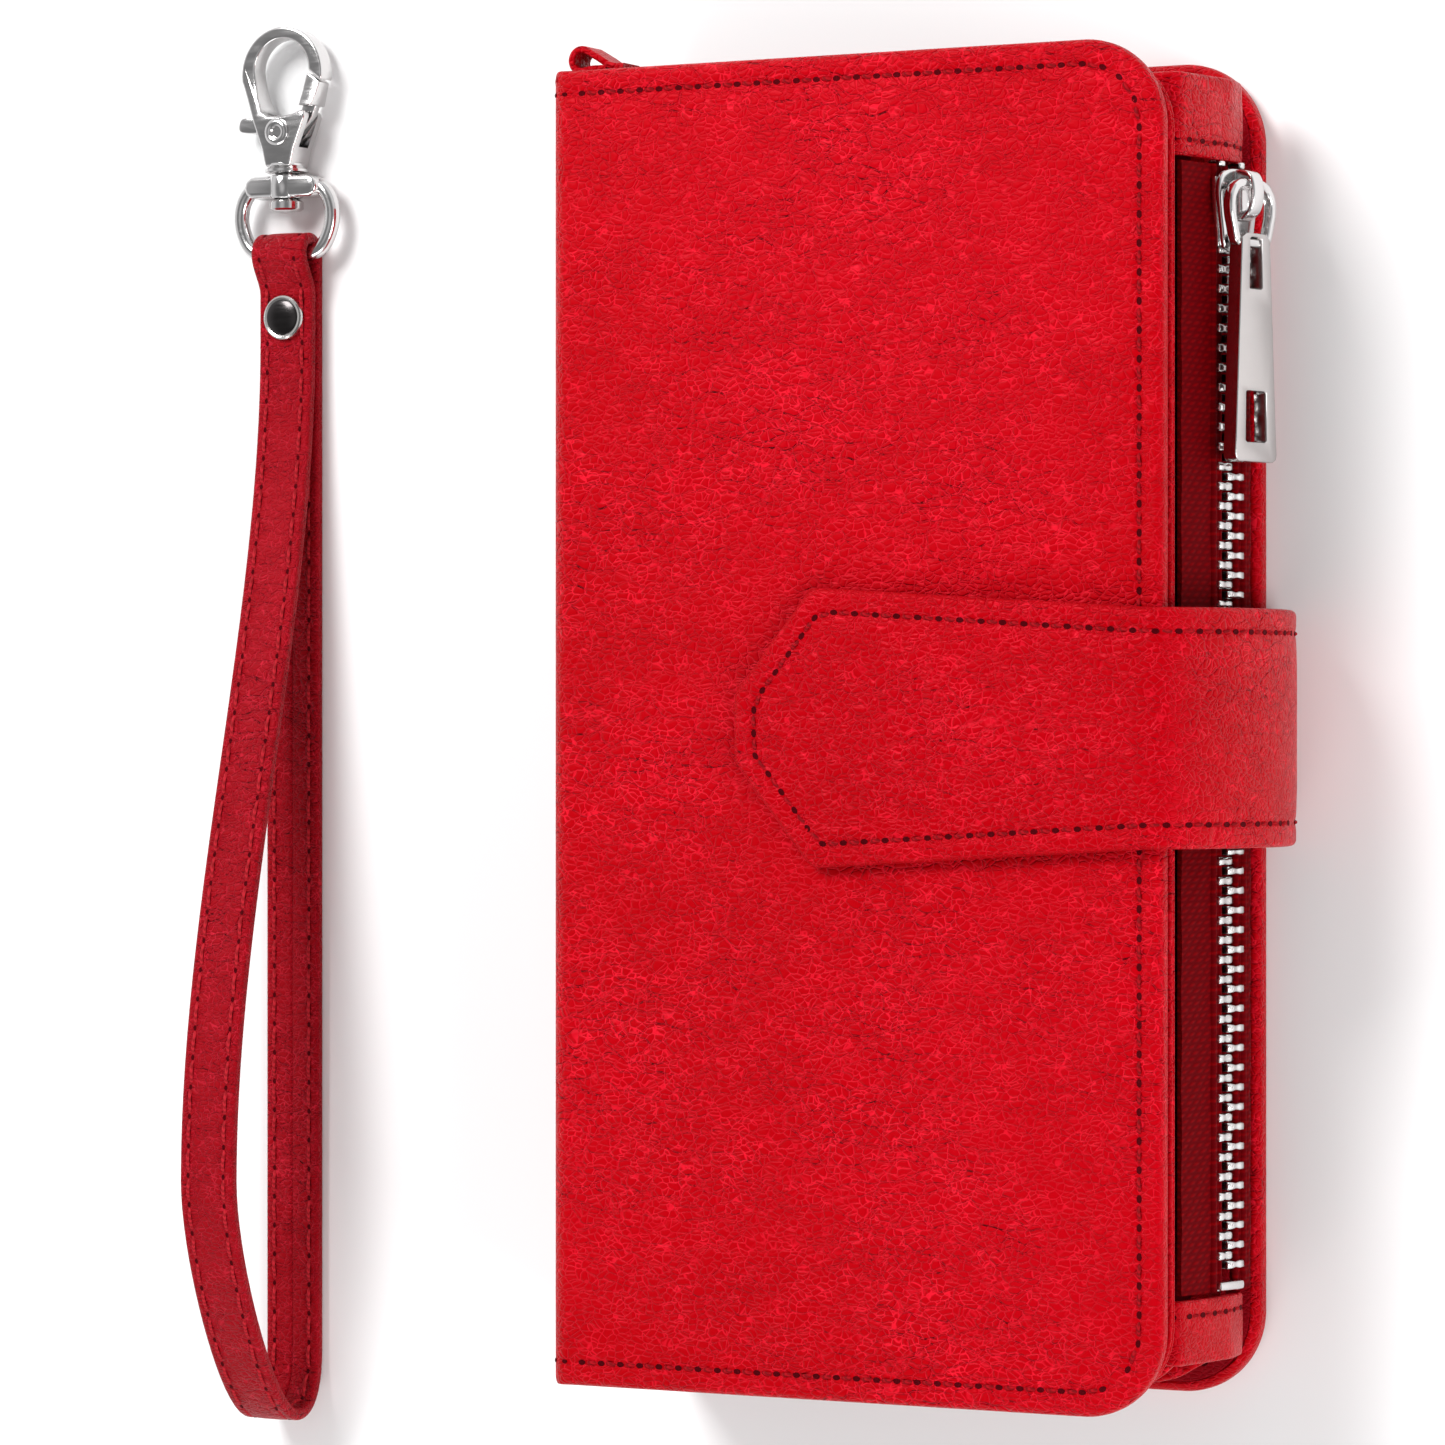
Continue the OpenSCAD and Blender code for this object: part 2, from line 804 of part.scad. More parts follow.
// Thumb lever and gate in one piece
module gate_lever() {
  low = -1.05;
  high = 0.3;
  color("silver") at_hook() translate([0, 0, low]) linear_extrude(high - low) difference() {
    union() {
      translate([0, pivot_y]) circle(1.9);
      ribbon([[0, pivot_y], [-4.4, pivot_y + 1.1]], 1.7);
      ribbon([[-3.8, pivot_y + 1.15], [-7.3, pivot_y + 1.3]], 2);
      intersection() {
        ribbon([[0, pivot_y], [3.1, pivot_y + 2], [4.9, pivot_y + 9]], 1.8);
        translate([0, pivot_y]) circle(gate_reach - 0.25);
      }
    }
    translate([0, pivot_y]) circle(1.06);
  }
}

back_leather();
back_board();
back_lining();
tray_pad();
phone_tray();
spine_leather();
spine_board();
spine_lining();
lanyard_loop();
cover_leather();
cover_board();
cover_lining();
cover_keeper();
card_pocket_deep();
card_pocket_mid();
card_pocket_front();
leaf_front_skin();
leaf_back_skin();
pouch_front_wall();
pouch_back_wall();
pouch_spine_wall();
pouch_gusset_top();
pouch_gusset_bottom();
pouch_lining();
zip_tape_front();
zip_tape_back();
zip_teeth_front();
zip_teeth_back();
zip_top_stops();
zip_bottom_stop();
zip_end_tab_top();
zip_end_tab_bottom();
slider_body();
slider_crown();
pull_link();
pull_plate();
strap_side_leather();
strap_side_lining();
strap_tip_leather();
strap_tip_lining();
strap_magnet();
band_leather();
band_lining();
rivet_cap();
rivet_post();
swivel_ring();
swivel_post();
hook_body();
gate_pin();
gate_spring();
gate_lever();
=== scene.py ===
import json
import math
import random

import bmesh
import bpy
from mathutils import Vector
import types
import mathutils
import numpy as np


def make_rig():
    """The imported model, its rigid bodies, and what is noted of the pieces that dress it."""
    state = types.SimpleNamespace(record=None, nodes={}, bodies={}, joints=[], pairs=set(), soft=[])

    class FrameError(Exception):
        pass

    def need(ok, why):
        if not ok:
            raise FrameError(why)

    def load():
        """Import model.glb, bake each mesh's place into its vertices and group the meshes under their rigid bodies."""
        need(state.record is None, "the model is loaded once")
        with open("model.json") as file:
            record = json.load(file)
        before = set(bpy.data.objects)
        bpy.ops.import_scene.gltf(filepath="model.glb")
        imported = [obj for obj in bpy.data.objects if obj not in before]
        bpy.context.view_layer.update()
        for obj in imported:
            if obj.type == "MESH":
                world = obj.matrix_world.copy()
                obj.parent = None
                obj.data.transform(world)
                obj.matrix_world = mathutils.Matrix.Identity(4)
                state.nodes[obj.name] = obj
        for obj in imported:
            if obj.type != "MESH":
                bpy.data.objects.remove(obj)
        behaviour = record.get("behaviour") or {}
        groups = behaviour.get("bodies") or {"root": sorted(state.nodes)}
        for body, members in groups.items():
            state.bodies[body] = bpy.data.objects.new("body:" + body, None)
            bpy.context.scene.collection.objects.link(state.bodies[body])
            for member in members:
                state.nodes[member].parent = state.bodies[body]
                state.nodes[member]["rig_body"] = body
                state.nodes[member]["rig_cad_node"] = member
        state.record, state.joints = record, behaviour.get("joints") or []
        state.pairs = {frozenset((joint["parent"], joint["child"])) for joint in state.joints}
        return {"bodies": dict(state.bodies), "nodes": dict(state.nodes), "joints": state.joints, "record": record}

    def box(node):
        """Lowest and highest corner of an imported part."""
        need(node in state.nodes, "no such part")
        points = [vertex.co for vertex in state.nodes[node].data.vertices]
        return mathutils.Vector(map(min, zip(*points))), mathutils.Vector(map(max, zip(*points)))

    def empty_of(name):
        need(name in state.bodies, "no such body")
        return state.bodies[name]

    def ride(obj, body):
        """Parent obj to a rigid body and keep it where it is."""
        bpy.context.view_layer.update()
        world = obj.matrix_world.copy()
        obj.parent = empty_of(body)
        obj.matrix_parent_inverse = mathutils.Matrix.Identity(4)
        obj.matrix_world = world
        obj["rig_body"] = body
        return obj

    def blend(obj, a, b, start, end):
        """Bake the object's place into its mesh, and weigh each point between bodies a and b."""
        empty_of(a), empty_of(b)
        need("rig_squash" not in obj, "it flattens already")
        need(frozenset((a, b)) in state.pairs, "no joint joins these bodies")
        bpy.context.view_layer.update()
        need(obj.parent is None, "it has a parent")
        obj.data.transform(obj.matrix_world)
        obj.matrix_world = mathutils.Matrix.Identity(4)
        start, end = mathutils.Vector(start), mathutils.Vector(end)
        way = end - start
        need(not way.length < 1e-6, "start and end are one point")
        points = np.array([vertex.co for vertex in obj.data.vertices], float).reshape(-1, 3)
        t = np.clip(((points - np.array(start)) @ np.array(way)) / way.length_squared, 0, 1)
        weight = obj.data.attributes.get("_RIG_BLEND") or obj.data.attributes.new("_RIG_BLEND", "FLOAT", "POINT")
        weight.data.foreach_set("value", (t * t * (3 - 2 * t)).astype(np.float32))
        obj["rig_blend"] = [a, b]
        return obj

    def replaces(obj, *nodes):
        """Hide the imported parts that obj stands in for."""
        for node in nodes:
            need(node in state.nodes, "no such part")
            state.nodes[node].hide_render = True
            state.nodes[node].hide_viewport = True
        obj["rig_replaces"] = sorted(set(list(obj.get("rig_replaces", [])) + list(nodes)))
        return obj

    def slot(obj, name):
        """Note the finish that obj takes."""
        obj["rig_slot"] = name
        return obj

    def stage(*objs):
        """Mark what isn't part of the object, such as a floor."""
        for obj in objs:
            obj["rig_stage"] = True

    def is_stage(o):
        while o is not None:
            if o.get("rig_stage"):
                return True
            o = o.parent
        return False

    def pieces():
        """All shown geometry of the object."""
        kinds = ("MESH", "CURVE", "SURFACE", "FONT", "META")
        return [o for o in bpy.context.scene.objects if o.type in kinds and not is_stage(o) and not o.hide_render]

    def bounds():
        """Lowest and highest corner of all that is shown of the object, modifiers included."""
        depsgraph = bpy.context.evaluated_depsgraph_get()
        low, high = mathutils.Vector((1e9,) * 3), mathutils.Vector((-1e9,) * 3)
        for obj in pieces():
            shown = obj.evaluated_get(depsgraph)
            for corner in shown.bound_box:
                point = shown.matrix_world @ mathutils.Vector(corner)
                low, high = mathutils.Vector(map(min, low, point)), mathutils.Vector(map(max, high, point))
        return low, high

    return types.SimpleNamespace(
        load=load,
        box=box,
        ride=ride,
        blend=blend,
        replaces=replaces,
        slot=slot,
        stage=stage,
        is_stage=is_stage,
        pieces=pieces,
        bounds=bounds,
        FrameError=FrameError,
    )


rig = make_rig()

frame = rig.load()
CAD_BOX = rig.bounds()
MM = 0.001
rng = random.Random(11)


def box_mm(*nodes):
    """Lowest and highest corner of some CAD nodes together, in millimetres."""
    lo, hi = [1e9] * 3, [-1e9] * 3
    for n in nodes:
        a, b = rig.box(n)
        for k in range(3):
            lo[k] = min(lo[k], a[k] / MM)
            hi[k] = max(hi[k], b[k] / MM)
    return lo, hi


# ---------- camera, light, floor ----------

# The camera looks down at the case from 28 degrees to its fore edge's side
CAMERA_AT = (0.31691, 0.00067, 0.65905)
CAMERA_TILT = 0.4901
cam_data = bpy.data.cameras.new("camera")
cam_data.lens = 143.0
cam_data.sensor_width = 36.0
cam_data.clip_start = 0.01
cam_data.clip_end = 20
camera = bpy.data.objects.new("camera", cam_data)
camera.location = CAMERA_AT
camera.rotation_euler = (0, CAMERA_TILT, 0)
bpy.context.scene.collection.objects.link(camera)
bpy.context.scene.camera = camera
bpy.context.scene.view_settings.view_transform = "Standard"


def area_light(name, place, aim, size, watts, tint=(1, 1, 1)):
    data = bpy.data.lights.new(name, "AREA")
    data.shape = "RECTANGLE"
    data.size, data.size_y = size
    data.energy = watts
    data.color = tint
    ob = bpy.data.objects.new(name, data)
    ob.location = place
    ob.rotation_mode = "QUATERNION"
    ob.rotation_quaternion = (Vector(aim) - Vector(place)).to_track_quat("-Z", "Y")
    bpy.context.scene.collection.objects.link(ob)


area_light("key", (-0.35, 0.55, 0.75), (0, 0, 0), (0.4, 0.34), 8.6)
area_light("fill", (0.75, -0.25, 0.45), (0.02, 0, 0.015), (0.4, 0.5), 5.0)
area_light("low", (-0.1, -0.75, 0.5), (0, -0.02, 0), (0.7, 0.3), 2.2)

world = bpy.data.worlds.new("studio")
bpy.context.scene.world = world
world.use_nodes = True
wt = world.node_tree
w_co = wt.nodes.new("ShaderNodeTexCoord")
w_sep = wt.nodes.new("ShaderNodeSeparateXYZ")
w_ramp = wt.nodes.new("ShaderNodeValToRGB")
wt.links.new(w_co.outputs["Generated"], w_sep.inputs[0])
wt.links.new(w_sep.outputs["Z"], w_ramp.inputs[0])
# Brightness of the studio's walls, from below to above, as the metal mirrors it
SKY = ((0.0, 0.80), (0.18, 0.92), (0.42, 1.0), (0.60, 0.75), (0.76, 0.28), (0.93, 0.26), (1.0, 0.7))
while len(w_ramp.color_ramp.elements) < len(SKY):
    w_ramp.color_ramp.elements.new(0.5)
for el, (pos, v) in zip(w_ramp.color_ramp.elements, SKY):
    el.position = pos
    el.color = (v, v, v * 1.01, 1)
wt.links.new(w_ramp.outputs[0], wt.nodes["Background"].inputs["Color"])
wt.nodes["Background"].inputs["Strength"].default_value = 0.82


# ---------- materials ----------


class Shader:
    """A material and short ways to add nodes to it."""

    def __init__(self, name):
        self.mat = bpy.data.materials.new(name)
        self.mat.use_nodes = True
        self.tree = self.mat.node_tree
        self.bsdf = self.tree.nodes["Principled BSDF"]
        self.co = self.add("ShaderNodeTexCoord").outputs["Object"]

    def add(self, kind, ins=None, **attrs):
        node = self.tree.nodes.new(kind)
        for k, v in attrs.items():
            setattr(node, k, v)
        for k, v in (ins or {}).items():
            self.join(node.inputs[k], v)
        return node

    def join(self, socket, v):
        if isinstance(v, bpy.types.NodeSocket):
            self.tree.links.new(v, socket)
        else:
            socket.default_value = v

    def put(self, **values):
        for k, v in values.items():
            self.join(self.bsdf.inputs[k.replace("_", " ")], v)

    def mapped(self, scale, turn=(0, 0, 0)):
        ins = {"Vector": self.co, "Scale": scale, "Rotation": turn}
        return self.add("ShaderNodeMapping", ins).outputs[0]

    def noise(self, scale, detail=3, rough=0.55, out="Fac"):
        """Noise with a scale for each axis, or one for all three."""
        scale = scale if isinstance(scale, tuple) else (scale,) * 3
        ins = {"Vector": self.mapped(scale), "Scale": 1.0, "Detail": detail, "Roughness": rough}
        return self.add("ShaderNodeTexNoise", ins).outputs[out]

    def maths(self, op, a, b=0.0):
        return self.add("ShaderNodeMath", {0: a, 1: b}, operation=op).outputs[0]

    def ramp(self, fac, *stops):
        node = self.add("ShaderNodeValToRGB", {"Fac": fac})
        els = node.color_ramp.elements
        while len(els) < len(stops):
            els.new(0.5)
        for el, (pos, col) in zip(els, stops):
            el.position = pos
            el.color = (*col, 1) if len(col) == 3 else col
        return node.outputs["Color"]

    def mix(self, fac, a, b):
        return self.add("ShaderNodeMixRGB", {"Fac": fac, "Color1": a, "Color2": b}).outputs[0]

    def times(self, a, b):
        return self.maths("MULTIPLY", a, b)

    def spread(self, fac, scale, low):
        """fac times scale, plus low."""
        return self.maths("ADD", self.times(fac, scale), low)

    def pushed(self, co, noise, reach):
        """Coordinates moved by up to reach along a noise's colour."""
        shift = self.add("ShaderNodeVectorMath", {0: noise, 1: (reach,) * 3}, operation="MULTIPLY")
        return self.add("ShaderNodeVectorMath", {0: co, 1: shift.outputs[0]}, operation="ADD").outputs[0]

    def cells(self, co, stretch, scale):
        """Distance to the nearest edge of some long cells that lean a little."""
        long_co = self.add("ShaderNodeMapping", {"Vector": co, "Scale": stretch, "Rotation": (0, 0, 0.3)})
        ins = {"Vector": long_co.outputs[0], "Scale": scale}
        return self.add("ShaderNodeTexVoronoi", ins, feature="DISTANCE_TO_EDGE").outputs["Distance"]

    def bump(self, height, strength, depth, normal=None):
        ins = {"Height": height, "Strength": strength, "Distance": depth}
        if normal is not None:
            ins["Normal"] = normal
        return self.add("ShaderNodeBump", ins).outputs[0]


def grey(v):
    return (v, v, v)


def leather(name, base, deep, pale, rough=0.4, cell=1.0, relief=1.0):
    """Crinkled synthetic leather: long folds, small cells, pores and colour drift. The colour also carries a painted
    highlight on the fold and cell ridges and painted shade in the cell valleys.
    """
    s = Shader(name)
    moved = s.pushed(s.co, s.noise(420, 1.2, 0.5, "Color"), 0.0014)
    swayed = s.pushed(moved, s.noise(120, 2, 0.5, "Color"), 0.004)
    cells = s.cells(moved, (0.62, 1.05, 1.0), 1300 / cell)
    folds = s.cells(swayed, (0.5, 1.35, 1.0), 400 / cell)
    small = s.ramp(cells, (0.0, grey(0)), (0.16, grey(0.75)), (0.5, grey(1)))
    big = s.ramp(folds, (0.0, grey(0)), (0.07, grey(0.8)), (0.3, grey(1)))
    patch = s.noise((38, 46, 38), 2, 0.5)
    where = s.ramp(patch, (0.36, grey(0.18)), (0.66, grey(1)))

    drift = s.noise((17, 21, 19), 3, 0.5)
    tone = s.ramp(drift, (0.3, deep), (0.52, base), (0.75, pale))
    # Painted shade: the colour darkens towards the deep red along the cell edges, where the valleys lie.
    valley = s.mix(s.times(s.maths("SUBTRACT", 1.0, small), 0.3), tone, (*[c * 0.6 for c in deep], 1))
    # Painted highlight: a pale pink colour along the ridges of the folds and of the small cells, broken up by noise
    # and stronger in patches.
    ridge = (min(1.0, pale[0] * 1.75), pale[1] + 0.010 * relief, pale[2] + 0.024 * relief, 1)
    fold_ridge = s.ramp(folds, (0.012, grey(1)), (0.035, grey(0)))
    cell_ridge = s.ramp(cells, (0.025, grey(1)), (0.075, grey(0)))
    broken = s.noise((260, 420, 260), 2, 0.6)
    broken = s.ramp(broken, (0.38, grey(0.4)), (0.62, grey(1)))
    lit = s.mix(s.times(s.times(fold_ridge, where), 0.35), valley, ridge)
    lit = s.mix(s.times(s.times(cell_ridge, broken), s.spread(where, 0.4, 0.45)), lit, ridge)
    s.put(Base_Color=lit)

    soft = s.noise(900, 3, 0.6)
    s.put(Roughness=s.spread(soft, 0.22, rough - 0.1))
    calm = s.noise((95, 150, 95), 3, 0.6)
    calm = s.ramp(calm, (0.35, grey(0.35)), (0.6, grey(1)))
    pores = s.noise(5200, 2, 0.6)
    folded = s.bump(s.mix(where, (1, 1, 1, 1), big), 0.85 * relief, 0.00028)
    grained = s.bump(s.mix(calm, (1, 1, 1, 1), small), 0.95 * relief, 0.00016, folded)
    s.put(Normal=s.bump(pores, 0.16 * relief, 0.00004, grained))
    s.put(Specular_IOR_Level=0.3, Specular_Tint=(1.0, 0.05, 0.10, 1))
    return s.mat


def cloth(name, base, deep, threads, rough=0.85):
    """Plain weave: two sets of threads crossing, with fluff and a slow colour drift."""
    s = Shader(name)
    fibres = []
    for turn, bands in (((0, 0, 0), "Y"), ((0, 0.2, 0), "DIAGONAL")):
        ins = {"Vector": s.mapped((threads,) * 3, turn), "Scale": 1.0, "Distortion": 0.4}
        fibres.append(s.add("ShaderNodeTexWave", ins, bands_direction=bands).outputs["Fac"])
    weave = s.times(*fibres)
    fluff = s.noise(2600, 4, 0.7)
    drift = s.noise(60, 2)
    tone = s.mix(weave, (*deep, 1), (*base, 1))
    s.put(Base_Color=s.mix(s.times(drift, 0.3), tone, (*deep, 1)))
    s.put(Roughness=s.spread(fluff, 0.15, rough - 0.08))
    s.put(Normal=s.bump(fluff, 0.3, 0.00005, s.bump(weave, 0.7, 0.00012)))
    s.put(Specular_IOR_Level=0.16, Specular_Tint=(1.0, 0.10, 0.2, 1))
    return s.mat


def metal(name, base, rough, scratch=0.05):
    """Plated metal with faint rubbing marks and uneven polish."""
    s = Shader(name)
    rub = s.noise((300, 2400, 300), 3, 0.6)
    cloud = s.noise(90, 3, 0.5)
    s.put(Base_Color=s.ramp(cloud, (0.25, [c * t for c, t in zip(base, (0.86, 0.86, 0.87))]), (0.7, base)))
    s.put(Roughness=s.ramp(rub, (0.3, grey(rough)), (0.8, grey(rough + 0.12))))
    s.put(Normal=s.bump(rub, scratch, 0.00003))
    s.put(Metallic=1.0)
    return s.mat


def speckled(name, base, deep, rough, scale, relief):
    """Board or moulded rubber: fine speckle and a matching relief."""
    s = Shader(name)
    fine = s.noise(scale, 5, 0.7)
    slow = s.noise(scale / 30, 2)
    both = s.spread(fine, 0.7, s.times(slow, 0.3))
    s.put(Base_Color=s.ramp(both, (0.35, deep), (0.65, base)))
    s.put(Roughness=s.spread(fine, 0.25, rough - 0.12))
    s.put(Normal=s.bump(fine, relief, 0.00006))
    return s.mat


def yarn(name, base, deep):
    """Twisted sewing thread."""
    s = Shader(name)
    ins = {"Vector": s.mapped((900,) * 3, (0.5, 0.4, 0.6)), "Scale": 1.0}
    twist = s.add("ShaderNodeTexWave", ins, bands_direction="DIAGONAL")
    fuzz = s.noise(6000, 2)
    s.put(Base_Color=s.mix(twist.outputs["Fac"], (*deep, 1), (*base, 1)))
    s.put(Roughness=s.spread(fuzz, 0.2, 0.55))
    s.put(Normal=s.bump(twist.outputs["Fac"], 0.5, 0.00008))
    s.put(Specular_IOR_Level=0.1)
    return s.mat


RED = leather("red_skin", (0.41, 0.0001, 0.003), (0.36, 0.0001, 0.002), (0.45, 0.0005, 0.005))
RED_STRAP = leather(
    "red_strap_skin", (0.40, 0.0001, 0.003), (0.35, 0.0001, 0.002), (0.44, 0.0005, 0.005), rough=0.34,
    cell=0.95,
)
RED_BAND = leather(
    "red_band_skin", (0.27, 0.003, 0.007), (0.23, 0.002, 0.005), (0.31, 0.006, 0.011), rough=0.46, cell=0.8,
)
DARK = leather(
    "lining_skin", (0.22, 0.001, 0.004), (0.18, 0.0006, 0.003), (0.25, 0.002, 0.006), rough=0.5, cell=0.7,
    relief=0.6,
)
EDGE = leather(
    "edge_skin", (0.38, 0.001, 0.005), (0.33, 0.0006, 0.004), (0.42, 0.002, 0.008), rough=0.38, cell=0.7,
    relief=0.5,
)
# Painted shade: the zip cloth's red is made very dark, for the shadow the tape lies in between the covers; the cloth
# itself is a lighter red.
TAPE = cloth("zip_weave", (0.19, 0.0003, 0.001), (0.09, 0.0002, 0.001), 420)
POUCH = cloth("pouch_weave", (0.20, 0.003, 0.008), (0.10, 0.001, 0.004), 330)
THREAD = yarn("red_thread", (0.36, 0.001, 0.006), (0.17, 0.0005, 0.003))
THREAD_DULL = yarn("dull_red_thread", (0.44, 0.012, 0.022), (0.24, 0.005, 0.009))
# Painted shade: the needle holes' near-black colour stands in for the shade inside the holes.
HOLE = leather(
    "needle_hole", (0.045, 0.0004, 0.001), (0.03, 0.0002, 0.0006), (0.06, 0.0006, 0.0015), rough=0.8,
    cell=0.3, relief=0.3,
)
NICKEL = metal("bright_nickel_plate", (0.72, 0.705, 0.70), 0.1)
PLATE = metal("pull_plate_nickel", (0.56, 0.53, 0.52), 0.16, 0.12)
TEETH = metal("zip_tooth_metal", (0.80, 0.79, 0.78), 0.16, 0.12)
STEEL = metal("spring_wire", (0.55, 0.55, 0.57), 0.26, 0.2)
RIVET = metal("dark_rivet_plate", (0.06, 0.055, 0.055), 0.14)
RIM = metal("rivet_rim_plate", (0.62, 0.60, 0.58), 0.12)
BOARD = speckled("grey_board", (0.50, 0.45, 0.38), (0.36, 0.31, 0.25), 0.9, 1800, 0.5)
RUBBER = speckled("tray_rubber", (0.020, 0.020, 0.022), (0.012, 0.012, 0.013), 0.5, 2600, 0.25)


# ---------- mesh helpers ----------


def make(name, verts, faces, mat, sharp=38, merge=2e-6):
    """An object from points in mm: doubles joined, normals outwards, smooth between sharp edges."""
    me = bpy.data.meshes.new(name)
    me.from_pydata([(x * MM, y * MM, z * MM) for x, y, z in verts], [], faces)
    bm = bmesh.new()
    bm.from_mesh(me)
    bmesh.ops.remove_doubles(bm, verts=bm.verts, dist=merge)
    bmesh.ops.recalc_face_normals(bm, faces=bm.faces)
    bm.to_mesh(me)
    bm.free()
    me.polygons.foreach_set("use_smooth", [True] * len(me.polygons))
    me.set_sharp_from_angle(angle=math.radians(sharp))
    me.materials.append(mat)
    ob = bpy.data.objects.new(name, me)
    bpy.context.scene.collection.objects.link(ob)
    return ob


def put(ob, body, slot, *nodes):
    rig.ride(ob, body)
    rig.slot(ob, slot)
    if nodes:
        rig.replaces(ob, *nodes)
    return ob


def bake(ob, sharp=38):
    """The object's modifiers become its mesh."""
    dg = bpy.context.evaluated_depsgraph_get()
    me = bpy.data.meshes.new_from_object(ob.evaluated_get(dg), depsgraph=dg)
    ob.modifiers.clear()
    ob.data = me
    me.set_sharp_from_angle(angle=math.radians(sharp))
    return ob


def bevelled(ob, width, segments=3, angle=32):
    m = ob.modifiers.new("bevel", "BEVEL")
    m.width = width * MM
    m.segments = segments
    m.limit_method = "ANGLE"
    m.angle_limit = math.radians(angle)
    m.use_clamp_overlap = True
    return bake(ob, 50)


def cut(ob, tool):
    """Takes the tool out of the object and removes the tool."""
    m = ob.modifiers.new("cut", "BOOLEAN")
    m.operation = "DIFFERENCE"
    m.solver = "EXACT"
    m.object = tool
    bpy.context.view_layer.update()
    bake(ob)
    bpy.data.objects.remove(tool)
    return ob


def ring_faces(count, sides, closed=False):
    """Faces of a tube of rings: open tubes get a cap at both ends, a closed one meets itself."""
    faces = []
    for i in range(count if closed else count - 1):
        a, b = i * sides, (i + 1) % count * sides
        for j in range(sides):
            k = (j + 1) % sides
            faces.append((a + j, a + k, b + k, b + j))
    if not closed:
        faces += [tuple(range(sides))[::-1], tuple(range((count - 1) * sides, count * sides))]
    return faces


def around(sides):
    """Cosine and sine of even steps round a circle."""
    return [(math.cos(2 * math.pi * k / sides), math.sin(2 * math.pi * k / sides)) for k in range(sides)]


def joined(name, parts, mat, sharp=38):
    """One object from many (verts, faces) lists."""
    verts, faces = [], []
    for v, f in parts:
        base = len(verts)
        verts += v
        faces += [tuple(base + i for i in q) for q in f]
    return make(name, verts, faces, mat, sharp, 1e-8)


def slab(name, cols, half, place, top, low, mat, rows, mid=6, closed=False, sharp=38):
    """A closed solid on columns s, each from -half(s) to half(s); rows count in from both edges."""
    grid = []
    for s in cols:
        hw = half(s)
        k = min(1.0, 0.94 * hw / rows[-1])
        left = [-hw + r * k for r in rows]
        gap = -2 * left[-1] / (mid + 1)
        ys = left + [left[-1] + gap * (j + 1) for j in range(mid)] + [-y for y in reversed(left)]
        grid.append([(s, y) for y in ys])
    n, m = len(grid), len(grid[0])
    verts = [place(s, y, top(s, y)) for col in grid for s, y in col]
    verts += [place(s, y, low(s, y)) for col in grid for s, y in col]
    faces, off = [], n * m
    for i in range(n if closed else n - 1):
        a, b = i * m, ((i + 1) % n) * m
        for j in range(m - 1):
            faces.append((a + j, b + j, b + j + 1, a + j + 1))
            faces.append((off + a + j + 1, off + b + j + 1, off + b + j, off + a + j))
        for j, flip in ((0, False), (m - 1, True)):
            q = (a + j, off + a + j, off + b + j, b + j)
            faces.append(q[::-1] if flip else q)
    if not closed:
        for i in (0, n - 1):
            for j in range(m - 1):
                a = i * m + j
                faces.append((a, a + 1, off + a + 1, off + a))
    return make(name, verts, faces, mat, sharp)


def edge_dist(s, y, s0, s1, hh, r0, r1):
    """Distance in from the outline of a panel; a radius of None means that end has no edge."""
    d = hh - abs(y)
    for e, r in ((s - s0, r0), (s1 - s, r1)):
        if r is None:
            continue
        d = min(d, e)
        if e < r and hh - abs(y) < r:
            d = min(d, r - math.hypot(r - e, r - hh + abs(y)))
    return max(d, 0.0)


def half_width(s, s0, s1, hh, r0, r1):
    w = hh
    for e, r in ((s - s0, r0), (s1 - s, r1)):
        if r and e < r:
            w = min(w, hh - r + math.sqrt(max(r * r - (r - e) ** 2, 0)))
    return w


def tidy_cols(values, gap=0.03):
    out = []
    for v in sorted(values):
        if not out or v - out[-1] > gap:
            out.append(v)
    return out


FINE = [
    0, 0.05, 0.14, 0.28, 0.46, 0.7, 1.0, 1.25, 1.35, 1.9, 2.45, 2.7, 2.85, 3.0, 3.15, 3.3, 3.6, 4.6, 7.0,
]


def panel_cols(s0, s1, r0, r1, step=4.0, extra=()):
    out = {s0, s1, *extra}
    for edge, r, sign in ((s0, r0, 1), (s1, r1, -1)):
        if r is None:
            continue
        out |= {edge + sign * v for v in FINE}
        out |= {edge + sign * r * (1 - math.cos(math.radians(a))) for a in range(0, 91, 4)}
    n = int((s1 - s0) / step)
    out |= {s0 + (s1 - s0) * i / n for i in range(n + 1)}
    return tidy_cols(v for v in out if s0 - 1e-9 <= v <= s1 + 1e-9)


def roll(d, r, flat=0.3):
    """Share of the full half thickness at distance d from a rolled edge."""
    return 1.0 if d >= r else flat + (1 - flat) * math.sqrt(max(0.0, 1 - (1 - d / r) ** 2))


def dip(d, at, width):
    return math.exp(-(((d - at) / width) ** 2))


def smooth(u):
    u = max(0.0, min(1.0, u))
    return u * u * (3 - 2 * u)


def arc(cx, cy, r, a0, a1, n, ry=None):
    """Points on a circle, or on an ellipse of height ry, from one angle to another in n steps."""
    turns = [math.radians(a0 + (a1 - a0) * i / n) for i in range(n + 1)]
    return [(cx + r * math.cos(a), cy + (ry or r) * math.sin(a)) for a in turns]


